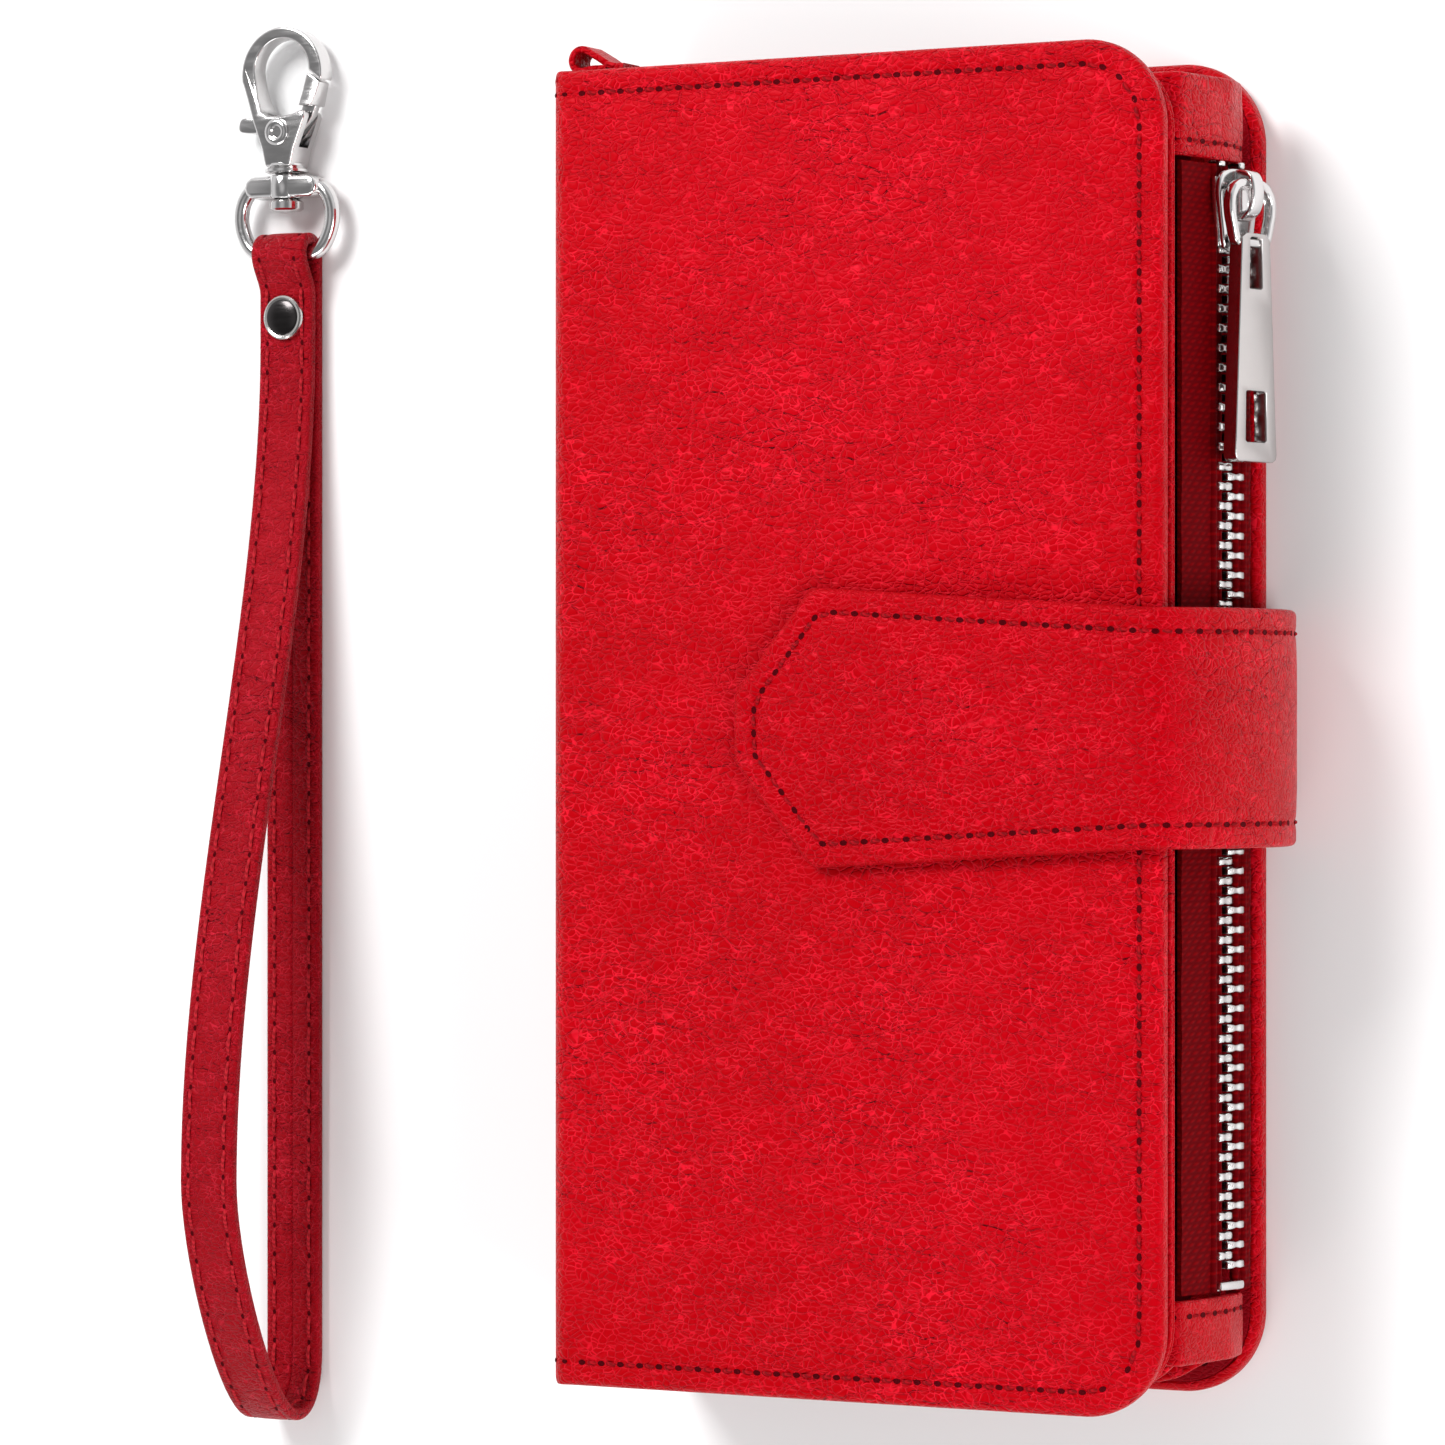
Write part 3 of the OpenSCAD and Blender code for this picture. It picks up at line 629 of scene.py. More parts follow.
def outline(x0, x1, hh, r0, r1, inset=0.0, cy=0.0, bend=10, side=10):
    """Points round a panel, the same number at any inset."""
    pts = []
    for cx, cyy, r, a0 in ((x1, -hh, r1, -90), (x1, hh, r1, 0), (x0, hh, r0, 90), (x0, -hh, r0, 180)):
        rr = max(r - inset, 0.05)
        sx = -1 if cx == x1 else 1
        sy = -1 if cyy > 0 else 1
        ox, oy = cx + sx * (inset + rr), cyy + sy * (inset + rr)
        pts += arc(ox, cy + oy, rr, a0, a0 + 90, bend)
    out = []
    for i, p in enumerate(pts):
        out.append(p)
        if i % (bend + 1) == bend:
            q = pts[(i + 1) % len(pts)]
            dx, dy = q[0] - p[0], q[1] - p[1]
            out += [(p[0] + dx * k / side, p[1] + dy * k / side) for k in range(1, side)]
    return out


def stack(name, loop_at, profile, mat):
    """A closed solid of loops: profile is a list of (inset, z); the first and the last loops are filled."""
    loops = [[(x, y, z) for x, y in loop_at(inset)] for inset, z in profile]
    return make(name, [v for lp in loops for v in lp], ring_faces(len(loops), len(loops[0])), mat)


def rolled_profile(z0, z1, r=None):
    """Insets and heights of a plate whose edge is rolled."""
    half = (z1 - z0) / 2
    r = r or half
    turns = [math.radians(15 * i) for i in range(7)]
    low = [(r - r * math.sin(a), z0 + half - half * math.cos(a)) for a in turns]
    return low + [(i, z0 + z1 - z) for i, z in reversed(low[:-1])]


def extruded(name, pts, z0, z1, mat, bevel, place, holes=(), segments=3):
    """A plate with holes from outlines in its own plane, with its edges bevelled."""
    work = bpy.data.meshes.new(name + "_plan")
    bm = bmesh.new()
    loops = []
    for line in (pts, *holes):
        vs = [bm.verts.new((x * MM, y * MM, z0 * MM)) for x, y in line]
        loops += [bm.edges.new((vs[i], vs[(i + 1) % len(vs)])) for i in range(len(vs))]
    bmesh.ops.triangle_fill(bm, edges=loops, use_beauty=True, use_dissolve=True)
    got = bmesh.ops.extrude_face_region(bm, geom=bm.faces[:])
    up = [g for g in got["geom"] if isinstance(g, bmesh.types.BMVert)]
    bmesh.ops.translate(bm, verts=up, vec=(0, 0, (z1 - z0) * MM))
    bmesh.ops.recalc_face_normals(bm, faces=bm.faces)
    bm.to_mesh(work)
    bm.free()
    ob = bpy.data.objects.new(name, work)
    bpy.context.scene.collection.objects.link(ob)
    if bevel:
        bevelled(ob, bevel, segments)
    for v in ob.data.vertices:
        v.co = Vector(place(v.co.x / MM, v.co.y / MM, v.co.z / MM)) * MM
    bm = bmesh.new()
    bm.from_mesh(ob.data)
    bmesh.ops.recalc_face_normals(bm, faces=bm.faces)
    bm.to_mesh(ob.data)
    bm.free()
    ob.data.polygons.foreach_set("use_smooth", [True] * len(ob.data.polygons))
    ob.data.set_sharp_from_angle(angle=math.radians(40))
    ob.data.materials.clear()
    ob.data.materials.append(mat)
    return ob


def smooth_line(pts, per=8, closed=False):
    """Catmull-Rom points through some points."""
    ps = [Vector(p) for p in pts]
    n = len(ps)
    out = []
    for i in range(n if closed else n - 1):
        p1, p2 = ps[i], ps[(i + 1) % n]
        p0 = ps[(i - 1) % n] if closed or i > 0 else p1 * 2 - p2
        p3 = ps[(i + 2) % n] if closed or i + 2 < n else p2 * 2 - p1
        for k in range(per):
            t = k / per
            a = (p1 * 2) + (p2 - p0) * t + (p0 * 2 - p1 * 5 + p2 * 4 - p3) * t * t
            out.append((a + (p1 * 3 - p0 - p2 * 3 + p3) * t**3) * 0.5)
    if not closed:
        out.append(ps[-1])
    return out


def sweep(pts, section, up, closed=False):
    """(verts, faces) of a section carried along 3D points; section(i) gives (across, upwards) pairs."""
    n = len(pts)
    verts = []
    for i, p in enumerate(pts):
        a = pts[(i - 1) % n] if closed or i else pts[0]
        b = pts[(i + 1) % n] if closed or i < n - 1 else pts[-1]
        run = (Vector(b) - Vector(a)).normalized()
        u = Vector(up[i] if isinstance(up, list) else up)
        side = run.cross(u).normalized()
        u = side.cross(run).normalized()
        ring = section(i)
        verts += [tuple(Vector(p) + side * s + u * h) for s, h in ring]
    return verts, ring_faces(n, len(ring), closed)


def circle(r, sides=12, squash=1.0):
    ring = [(r * c, r * squash * s) for c, s in around(sides)]
    return lambda i: ring


def bar(w, h, r, n=4):
    """A rounded rectangle as a section."""
    ring = []
    for sx, sy, a0 in ((1, 1, 0), (-1, 1, 90), (-1, -1, 180), (1, -1, 270)):
        ring += arc(sx * (w / 2 - r), sy * (h / 2 - r), r, a0, a0 + 90, n)
    return lambda i: ring


def bars(sizes):
    """Rounded rectangles of changing size as a section, one for each point."""
    return lambda i: bar(*sizes[i])(0)


def lathe(profile, centre, axis, sides=32):
    """(verts, faces) of a turned piece; profile is (radius, along) from one end to the other."""
    ax = Vector(axis).normalized()
    u = ax.orthogonal().normalized()
    v = ax.cross(u)
    verts = [
        tuple(Vector(centre) + ax * h + (u * c + v * s) * max(r, 0.001))
        for r, h in profile
        for c, s in around(sides)
    ]
    return verts, ring_faces(len(profile), sides)


def built(name, parts, mat, body, slot, *nodes):
    """One piece of some parts, put on its body."""
    return put(joined(name, parts, mat), body, slot, *nodes)


def turned(name, profile, centre, axis, sides, mat, body, slot, *nodes):
    """A turned piece put on its body."""
    return built(name, [lathe(profile, centre, axis, sides)], mat, body, slot, *nodes)


def plan_line(pts, per, closed=False):
    """smooth_line in a plane, as (x, y) pairs."""
    return [(p.x, p.y) for p in smooth_line(pts, per, closed)]


def above(y, pts):
    """Plan points moved up by y."""
    return [(x, y + v) for x, v in pts]


class Track:
    """A line in the X, Z plane, measured along its length, with its normal on the left."""

    def __init__(self, pts):
        self.p = [Vector((q[0], q[1])) for q in pts]
        self.s = [0.0]
        for a, b in zip(self.p, self.p[1:]):
            self.s.append(self.s[-1] + (b - a).length)
        self.n = []
        for i in range(len(self.p)):
            run = self.p[min(i + 1, len(self.p) - 1)] - self.p[max(i - 1, 0)]
            self.n.append(Vector((-run.y, run.x)).normalized())

    def at(self, s):
        i = 0
        while i < len(self.s) - 2 and s > self.s[i + 1]:
            i += 1
        u = (s - self.s[i]) / (self.s[i + 1] - self.s[i])
        uc = max(0.0, min(1.0, u))
        return self.p[i].lerp(self.p[i + 1], u), (self.n[i] * (1 - uc) + self.n[i + 1] * uc).normalized()

    def place(self, s, y, h):
        p, n = self.at(s)
        return (p.x + n.x * h, y, p.y + n.y * h)

    def up(self, s, side=1):
        n = self.at(s)[1] * side
        return (n.x, 0, n.y)

    def s_at_x(self, x):
        """Distance along to the first point that passes x."""
        for i in range(len(self.p) - 1):
            a, b = self.p[i].x, self.p[i + 1].x
            if (a - x) * (b - x) <= 0 and a != b:
                return self.s[i] + (self.s[i + 1] - self.s[i]) * (x - a) / (b - a)
        return self.s[-1]


def rounded(pts, radii, step=7):
    """A line with its inner corners turned into arcs."""
    out = [Vector(pts[0])]
    for i in range(1, len(pts) - 1):
        b = Vector(pts[i])
        u, v = (Vector(pts[i - 1]) - b).normalized(), (Vector(pts[i + 1]) - b).normalized()
        half, r = u.angle(v) / 2, radii[i - 1]
        c = b + (u + v).normalized() * (r / math.sin(half))
        p0, p1 = b + u * (r / math.tan(half)) - c, b + v * (r / math.tan(half)) - c
        turn = math.atan2(p0.x * p1.y - p0.y * p1.x, p0.dot(p1))
        n = max(3, int(abs(math.degrees(turn)) / step))
        for k in range(n + 1):
            a = turn * k / n
            cos, sin = math.cos(a), math.sin(a)
            out.append(c + Vector((p0.x * cos - p0.y * sin, p0.x * sin + p0.y * cos)))
    out.append(Vector(pts[-1]))
    return out


# ---------- stitching ----------


def walk(pts, ups, pitch, start=0.0):
    """(point, up, run) at even steps along a line of points."""
    out, left = [], start
    for i in range(len(pts) - 1):
        a, b = Vector(pts[i]), Vector(pts[i + 1])
        length = (b - a).length
        if length < 1e-9:
            continue
        while left <= length:
            t = left / length
            up = Vector(ups[i]).lerp(Vector(ups[i + 1]), t).normalized()
            out.append((a.lerp(b, t), up, (b - a) / length))
            left += pitch
        left -= length
    return out


def thread_part(a, b, up, r):
    """One stitch between two needle holes, standing a little above the leather."""
    run = b - a
    side = run.cross(up).normalized()
    verts = []
    lean = rng.uniform(-0.06, 0.06)
    steps = (0.0, 0.14, 0.32, 0.5, 0.68, 0.86, 1.0)
    for u in steps:
        arch = math.sin(math.pi * u) ** 0.6
        c = a + run * u + up * (-0.16 + (r + 0.16) * arch * 0.95) + side * lean * math.sin(2 * math.pi * u)
        rr = r * (0.78 + 0.22 * arch)
        verts += [tuple(c + side * rr * cos + up * rr * 0.8 * sin) for cos, sin in around(6)]
    return verts, ring_faces(len(steps), 6)


def hole_part(p, up, run, length, width):
    """A needle hole: a small oval in near-black painted shade, dished towards its middle."""
    side = run.cross(up).normalized()
    verts = []
    for size, h in ((1.0, -0.10), (0.96, 0.085), (0.6, 0.06), (0.1, 0.05)):
        for cos, sin in around(10):
            verts.append(tuple(p + run * length * size * cos + side * width * size * sin + up * h))
    return verts, ring_faces(4, 10)


def stitch(
    name, pts, ups, pitch, mover, slot, thread=None, r=0.24, fill=0.54, hole=(0.5, 0.36), start=0.6, bare=0,
):
    """A row of stitches with its needle holes; the first bare holes have no thread."""
    spots = walk(pts, ups, pitch, start)
    threads, holes = [], []
    for i, (p, up, run) in enumerate(spots):
        holes.append(hole_part(p, up, run, *hole))
        if i + 1 < len(spots) and i >= bare:
            q = spots[i + 1][0]
            gap = (q - p) * (1 - fill) / 2
            threads.append(thread_part(p + gap, q - gap, (up + spots[i + 1][1]).normalized(), r))
    for kind, parts, mat in (("thread", threads, thread or THREAD), ("holes", holes, HOLE)):
        if parts:
            ob = joined(f"{name}_{kind}", parts, mat, 60)
            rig.slot(ob, slot)
            mover(ob)


def riding(body):
    return lambda ob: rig.ride(ob, body)


STITCH_PITCH = 2.9


def flat_seam(name, line, z, up, body, slot, pitch=STITCH_PITCH, **more):
    """A seam along (x, y) points at one height; up is 1 or -1."""
    pts = [(x, y, z) for x, y in line]
    stitch(name, pts, [(0, 0, up)] * len(pts), pitch, riding(body), slot, **more)


def bending(a, b, start, end):
    s, e = [v * MM for v in start], [v * MM for v in end]
    return lambda ob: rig.blend(ob, a, b, s, e)


# ---------- sizes of the case ----------

(X0, _, COVER_Z0), (X1, HH, TOP_Z) = box_mm("cover_leather")
BACK_T = box_mm("back_leather")[1][2]
SKIN_T = 1.0
CORNER = 10.5
CREASE_X = X0 + 4
CREASE_Z = TOP_Z - 6
LEAF_CORNER = CORNER - 1
LINING_CORNER = CORNER - 1.2
# How far the seams run inside the edges of the covers, linings, pouch walls and zip end tabs
STITCH_IN, LINING_SEAM, WALL_SEAM, TAB_SEAM = 3.0, 1.8, 2.2, 1.9
ENDS = (("top", 1), ("bottom", -1))

# ---------- back cover and spine skin ----------

wrap = Track(rounded([(X1, 0), (X0, 0), (X0, CREASE_Z)], [2.4]))
S_BACK = wrap.s_at_x(X0 + 2.6)
S_END = wrap.s[-1]


def wrap_dist(s, y):
    return edge_dist(s, y, 0, S_END, HH, CORNER, None)


def wrap_top(s, y):
    d = wrap_dist(s, y)
    t = BACK_T if s < S_BACK else SKIN_T
    g = 0.0 if s > S_BACK + 4 else 0.16 * dip(d, STITCH_IN, 0.5)
    return -(1 - roll(d, 1.15)) * t / 2 - g


def wrap_low(s, y):
    d = wrap_dist(s, y)
    t = BACK_T if s < S_BACK else SKIN_T
    if s < S_BACK:
        return -t + (1 - roll(d, 1.15)) * t / 2 + 0.58 * smooth((d - 1.2) / 0.15)
    edge = 1.4 * (1 - smooth((d - 1.02) / 0.1)) * smooth((s - S_BACK - 1.5) / 1.0)
    return -t - edge + (1 - roll(d, 0.9)) * (t + edge) / 2


def wrap_half(s):
    return half_width(s, 0, S_END, HH, CORNER, None)


turn_cols = [S_BACK + v for v in (-0.06, 0, 0.05, 0.6, 1.2, 1.8, 2.4, 3.0, 3.6, 4.4)]
wrap_cols = panel_cols(0, S_END, CORNER, None, 4.0, turn_cols)
back_skin = slab("back_skin", wrap_cols, wrap_half, wrap.place, wrap_top, wrap_low, RED, FINE, 8)
# Centre and size of the camera window, as in the CAD
CAM_X, CAM_Y, CAM_W, CAM_H = 20.0, 60.0, 20.0, 22.0


def window_loop(inset):
    return [(x + CAM_X, y + CAM_Y) for x, y in outline(-CAM_W / 2, CAM_W / 2, CAM_H / 2, 3, 3, inset)]


def window_tool():
    return stack("window_tool", window_loop, [(0, -3), (0, 9)], RED)


cut(back_skin, window_tool())
put(back_skin, "back_half", "red_leather", "back_leather", "spine_leather")
rim_line = [(x, y, 1.5) for x, y in window_loop(0.1)]
rim = sweep([Vector(p) for p in rim_line], bar(0.9, 3.1, 0.4), (0, 0, 1), True)
built("camera_window_rim", [rim], EDGE, "back_half", "red_leather")
window_seam = window_loop(-1.9)
window_seam.append(window_seam[0])
flat_seam("camera_window_stitch", window_seam, 0.0, -1, "back_half", "red_leather", 2.8)


def inset_line(s0, s1, hh, r1, inset, step=0.4):
    """(s, y) points at an even distance inside a panel's edge: one side, round the far end, other side."""
    out, n = [], int((s1 - r1 - s0) / step)
    for i in range(n + 1):
        out.append((s0 + (s1 - r1 - s0) * i / n, hh - inset))
    r = max(r1 - inset, 0.3)
    out += arc(s1 - inset - r, hh - inset - r, r, 90, 0, 15)[1:]
    m = int((hh - r1) / step)
    for i in range(1, m + 1):
        out.append((s1 - inset, (hh - r1) * (1 - i / m)))
    return out + [(s, -y) for s, y in reversed(out[:-1])]


back_line = inset_line(-(S_BACK - 1), 0, HH, CORNER, STITCH_IN)
back_pts = [wrap.place(-s, y, -0.14) for s, y in back_line]
back_ups = [(0, 0, -1)] * len(back_pts)
stitch("back_stitch", back_pts, back_ups, STITCH_PITCH, riding("back_half"), "red_leather")

# Leather that closes the ends of the spine over its board, at the foot and under the crease
_, (_, board_hh, board_top) = box_mm("spine_board")
CAP_HALF = (HH - board_hh - 0.3) / 2
CAPS = (("foot", X0 + 2.75, 0.9, BACK_T + 0.1), ("crease", X0 + 2.25, CREASE_Z - 0.5, board_top))
for tag, cap_x, cap_z0, cap_z1 in CAPS:
    for side, sign in ENDS:
        cap_y = sign * (board_hh + 0.05 + CAP_HALF)

        def cap_loop(inset):
            return outline(X0 + 0.85, cap_x, CAP_HALF, 0.35, 0.35, inset, cap_y, 4, 3)

        cap = stack(f"spine_cap_{tag}_{side}", cap_loop, rolled_profile(cap_z0, cap_z1, 0.2), EDGE)
        put(cap, "back_half", "red_leather")

(lx0, _, lz0), (lx1, lhh, lz1) = box_mm("back_lining")


def lining_loop(x0, x1, hh, r0, r1):
    return lambda inset: outline(x0, x1, hh, r0, r1, inset)


back_loop = lining_loop(lx0, lx1, lhh, 1.0, LINING_CORNER)
back_lining = stack("back_lining_panel", back_loop, rolled_profile(lz0 + 0.02, lz1 - 0.02), DARK)
cut(back_lining, window_tool())
put(back_lining, "back_half", "dark_lining", "back_lining")
in_line = inset_line(lx0 + 1, lx1, lhh, LINING_CORNER, LINING_SEAM)
flat_seam("back_lining_stitch", in_line, lz1 - 0.02, 1, "back_half", "dark_lining")

(sx0, _, sz0), (sx1, shh, sz1) = box_mm("spine_lining")
SPINE_T, SPINE_H = sx1 - sx0, sz1 - sz0
spine_track = Track([(sx1, sz0), (sx1, sz1)])


def spine_round(s, y):
    return (1 - roll(edge_dist(s, y, 0, SPINE_H, shh, 0.3, 0.3), 0.4)) * 0.3


def spine_over(s, y):
    return SPINE_T - spine_round(s, y)


SHORT = [0, 0.06, 0.18, 0.4, 1.0, 2.2, 4.0]
spine_cols = tidy_cols(SHORT[:4] + [2 * i for i in range(1, 13)] + [SPINE_H - v for v in SHORT[:4]])
spine_lining = slab(
    "spine_lining_strip", spine_cols, lambda s: shh, spine_track.place, spine_over, spine_round, DARK,
    SHORT, 10,
)
put(spine_lining, "back_half", "dark_lining", "spine_lining")

# ---------- phone tray ----------

(tx0, _, tz0), (tx1, ty1, tz1) = box_mm("phone_tray")
TRAY_CX, TRAY_HALF, TRAY_R = (tx0 + tx1) / 2, (tx1 - tx0) / 2, 9.0


def tray_loop(inset):
    loop = outline(-TRAY_HALF, TRAY_HALF, ty1, TRAY_R, TRAY_R, inset, 0, 14, 12)
    return [(x + TRAY_CX, y) for x, y in loop]


# Insets and heights, up the outside of the wall, over its lip and down its inside
foot = above(tz0, [(1.6, 0), (0.7, 0.15), (0.2, 0.6), (0.0, 1.4)])
lip = [(0.0, -1.6), (0.15, -1.2), (0.15, -0.9), (0.0, -0.6), (0.12, -0.2), (0.5, 0), (1.7, 0)]
lip += [(2.1, -0.15), (2.2, -0.4), (2.0, -0.7), (1.6, -0.85)]
tray_profile = foot + above(tz1, lip) + above(tz0, [(1.6, 2.6), (2.0, 1.9), (2.8, 1.6)])
tray = stack("phone_tray_shell", tray_loop, tray_profile, RUBBER)
cut(tray, window_tool())
put(tray, "back_half", "soft_tray", "phone_tray")
ribs = []
for y in range(-64, 44, 14):
    rib = [Vector((TRAY_CX + x, y, tz0 + 1.62)) for x in range(-30, 31, 4)]
    ribs.append(sweep(rib, bar(0.8, 0.22, 0.1, 2), (0, 0, 1)))
built("phone_tray_ribs", ribs, RUBBER, "back_half", "soft_tray")
(px0, _, pz0), (px1, py1, pz1) = box_mm("tray_pad")
pad = stack("tray_glue_pad", lambda i: outline(px0, px1, py1, 4, 4, i), rolled_profile(pz0, pz1), RUBBER)
cut(pad, window_tool())
put(pad, "back_half", "soft_tray", "tray_pad")

# ---------- front cover ----------

CT = TOP_Z - COVER_Z0
S0 = X0 + 2.2


def cover_dist(s, y):
    return edge_dist(s, y, S0, X1, HH, None, CORNER)


def cover_top(s, y):
    d = cover_dist(s, y)
    # The crease skin lies over this part, up to the crease
    step = 1.03 if s < CREASE_X - 0.02 else 0.0
    puff = 0.10 * smooth((d - 3.2) / 5.0)
    return -(1 - roll(d, 1.2)) * CT / 2 - 0.2 * dip(d, STITCH_IN, 0.55) * (step == 0) - step - 0.1 + puff


def cover_low(s, y):
    d = cover_dist(s, y)
    return -CT + (1 - roll(d, 1.2)) * CT / 2 + 0.62 * smooth((d - 1.15) / 0.15)


def flat_top(s, y, h):
    return (s, y, TOP_Z + h)


cover_cols = panel_cols(S0, X1, None, CORNER, 4.0, [CREASE_X - 0.05, CREASE_X, CREASE_X + 0.6])
cover_skin = slab(
    "cover_skin", cover_cols, lambda s: half_width(s, S0, X1, HH, None, CORNER), flat_top, cover_top,
    cover_low, RED, FINE, 8,
)
put(cover_skin, "front_cover", "red_leather", "cover_leather")

crease = Track(rounded([(X0, CREASE_Z), (X0, TOP_Z - 0.1), (CREASE_X, TOP_Z - 0.1)], [2.6], 5))
SC = crease.s[-1]


def crease_top(s, y):
    d = HH - abs(y)
    fade = smooth((s - SC * 0.62) / (SC * 0.3))
    puff = (0.10 * smooth((d - 3.2) / 5.0)) * fade
    return -(1 - roll(d, 1.2)) * (0.5 + fade * (CT / 2 - 0.5)) - 0.2 * dip(d, STITCH_IN, 0.55) * fade + puff


def crease_low(s, y):
    return min(-1.0 + (1 - roll(HH - abs(y), 0.5)) * 0.1, crease_top(s, y) - 0.12)


crease_cols = tidy_cols([SC * i / 34 for i in range(35)])
crease_skin = slab(
    "spine_crease_skin", crease_cols, lambda s: HH, crease.place, crease_top, crease_low, RED, FINE, 8,
)
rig.slot(crease_skin, "red_leather")
spine_bend = bending("back_half", "front_cover", (X0 - 0.3, 0, TOP_Z - 2.9), (X0 + 2.6, 0, TOP_Z + 0.3))
spine_bend(crease_skin)

cover_line = inset_line(CREASE_X + 0.2, X1, HH, CORNER, STITCH_IN, 0.35)
# The seam runs along the top, round the fore edge with longer stitches, and along the bottom
turn_in = next(i for i, (s, y) in enumerate(cover_line) if s > X1 - CORNER + 4)
turn_out = len(cover_line) - turn_in
SEAMS = [("top", cover_line[: turn_in + 1], 2.75), ("fore", cover_line[turn_in:turn_out], 3.45)]
SEAMS += [("bottom", cover_line[turn_out - 1 :][::-1], 2.75)]
for tag, part, pitch in SEAMS:
    flat_seam(f"cover_stitch_{tag}", part, TOP_Z - 0.3, 1, "front_cover", "red_leather", pitch)
for tag, sign in ENDS:
    y = sign * (HH - STITCH_IN)
    s_a, s_b = SC - 4.2, SC + 0.2
    seq = [s_a + (s_b - s_a) * i / 12 for i in range(13)]
    pts = [crease.place(s, y, crease_top(min(s, SC), y) + 0.02) for s in seq]
    ups = [crease.up(s) for s in seq]
    stitch(f"crease_stitch_{tag}", pts, ups, 1.9, spine_bend, "red_leather", bare=2, hole=(0.36, 0.26))
end_pts = [(0.2, -2.4, -2.1), (0.1, -1.2, -2.0), (0.9, -0.7, -0.9), (1.0, -1.4, -0.6)]
end_pts = smooth_line([(X0 + x, HH + y, TOP_Z + z) for x, y, z in end_pts], 5)
built("thread_end", [sweep(end_pts, circle(0.14, 6), (0, 0.3, 1))], THREAD, "back_half", "red_leather")

(cx0, _, cz0), (cx1, chh, cz1) = box_mm("cover_lining")
cover_loop = lining_loop(cx0, cx1, chh, 1.0, LINING_CORNER)
cover_lining = stack("cover_lining_panel", cover_loop, rolled_profile(cz0, cz1 - 0.02), DARK)
put(cover_lining, "front_cover", "dark_lining", "cover_lining")
in_line = inset_line(cx0 + 1, cx1, chh, LINING_CORNER, LINING_SEAM)
flat_seam("cover_lining_stitch", in_line, cz0, -1, "front_cover", "dark_lining")

for node in ("card_pocket_deep", "card_pocket_mid", "card_pocket_front"):
    (qx0, _, qz0), (qx1, qhh, qz1) = box_mm(node)

    def q_dist(s, y):
        return edge_dist(s, y, qx0, qx1, qhh, 0.4, 8)

    def q_low(s, y):
        d = q_dist(s, y)
        lip = 0.09 * dip(s - qx0, 0.7, 0.5)
        return qz0 + 0.03 + (1 - roll(d, 0.3)) * 0.12 - lip * 0.3

    def q_top(s, y):
        return qz1 - (1 - roll(q_dist(s, y), 0.3)) * 0.12

    flap = slab(
        f"{node}_flap", panel_cols(qx0, qx1, 0.4, 8, 4.0), lambda s: half_width(s, qx0, qx1, qhh, 0.4, 8),
        lambda s, y, h: (s, y, h), q_top, q_low, DARK, FINE, 8,
    )
    put(flap, "front_cover", "dark_lining", node)
    lip_line = [(qx0 + 1.5, y * 2.0) for y in range(-int(qhh / 2) + 1, int(qhh / 2))]
    flat_seam(
        f"{node}_stitch", lip_line, qz0 + 0.03, -1, "front_cover", "dark_lining", r=0.15, hole=(0.3, 0.2),
    )

# ---------- middle leaf ----------

(fx0, _, fz0), (fx1, fhh, fz1) = box_mm("leaf_front_skin", "leaf_back_skin")
fzm = (fz0 + fz1) / 2
for tag, z0, z1, up in (("front", fzm + 0.01, fz1, 1), ("back", fz0, fzm - 0.01, -1)):
    leaf_loop = lining_loop(fx0, fx1, fhh, 0.8, LEAF_CORNER)
    skin = stack(f"leaf_{tag}_panel", leaf_loop, rolled_profile(z0, z1, 0.42), RED)
    put(skin, "middle_leaf", "red_leather", f"leaf_{tag}_skin")
    line = inset_line(fx0 + 1.5, fx1, fhh, LEAF_CORNER, 2.4)
    z = z1 if up > 0 else z0
    flat_seam(f"leaf_{tag}_stitch", line, z, up, "middle_leaf", "red_leather", r=0.18)

# ---------- coin pouch ----------

(wx0, _, _), (_, whh, wz1) = box_mm("pouch_front_wall")
(bx0, _, _), (_, _, bz1) = box_mm("pouch_back_wall")
front_track = Track(
    rounded([(wx0 + 0.02, wz1 - 0.5), (X1 - 22, wz1 - 0.5), (X1 - 2.8, wz1 - 4.2)], [60], 1.2)
)
back_track = Track(rounded([(bx0 + 0.02, bz1 - 0.4), (X1 - 3.5, bz1 - 0.4), (X1 - 3.5, bz1 - 6.2)], [1.8]))


def wall(name, track, t, node, mat, side):
    end = track.s[-1]

    def half(s):
        return half_width(min(track.at(s)[0].x, X1 - 0.2), X0, X1, whh, None, CORNER)

    def dist(s, y):
        return min(half(s) - abs(y), end - s, s + 2.0)

    def up(s, y):
        d = max(dist(s, y), 0)
        return t / 2 - (1 - roll(d, 0.5)) * t / 2 - 0.08 * dip(d, WALL_SEAM, 0.35) * (side > 0)

    def down(s, y):
        d = max(dist(s, y), 0)
        return -t / 2 + (1 - roll(d, 0.5)) * t / 2 + 0.08 * dip(d, WALL_SEAM, 0.35) * (side < 0)

    corner = [track.s_at_x(X1 - CORNER * math.cos(math.radians(a))) for a in range(60, 90, 4)]
    cols = tidy_cols([end - v for v in FINE] + [end * i / 30 for i in range(31)] + corner)
    ob = slab(name, cols, half, track.place, up, down, mat, FINE, 8)
    put(ob, "zip_pouch", "red_leather", node)
    seq = [1.5 + (end - 4) * i / 80 for i in range(81)]
    ups = [track.up(s, side) for s in seq]
    for tag, sign in ENDS[::-1]:
        pts = [track.place(s, sign * (half(s) - WALL_SEAM), (t / 2) * side) for s in seq]
        stitch(f"{name}_stitch_{tag}", pts, ups, STITCH_PITCH, riding("zip_pouch"), "red_leather", r=0.17)


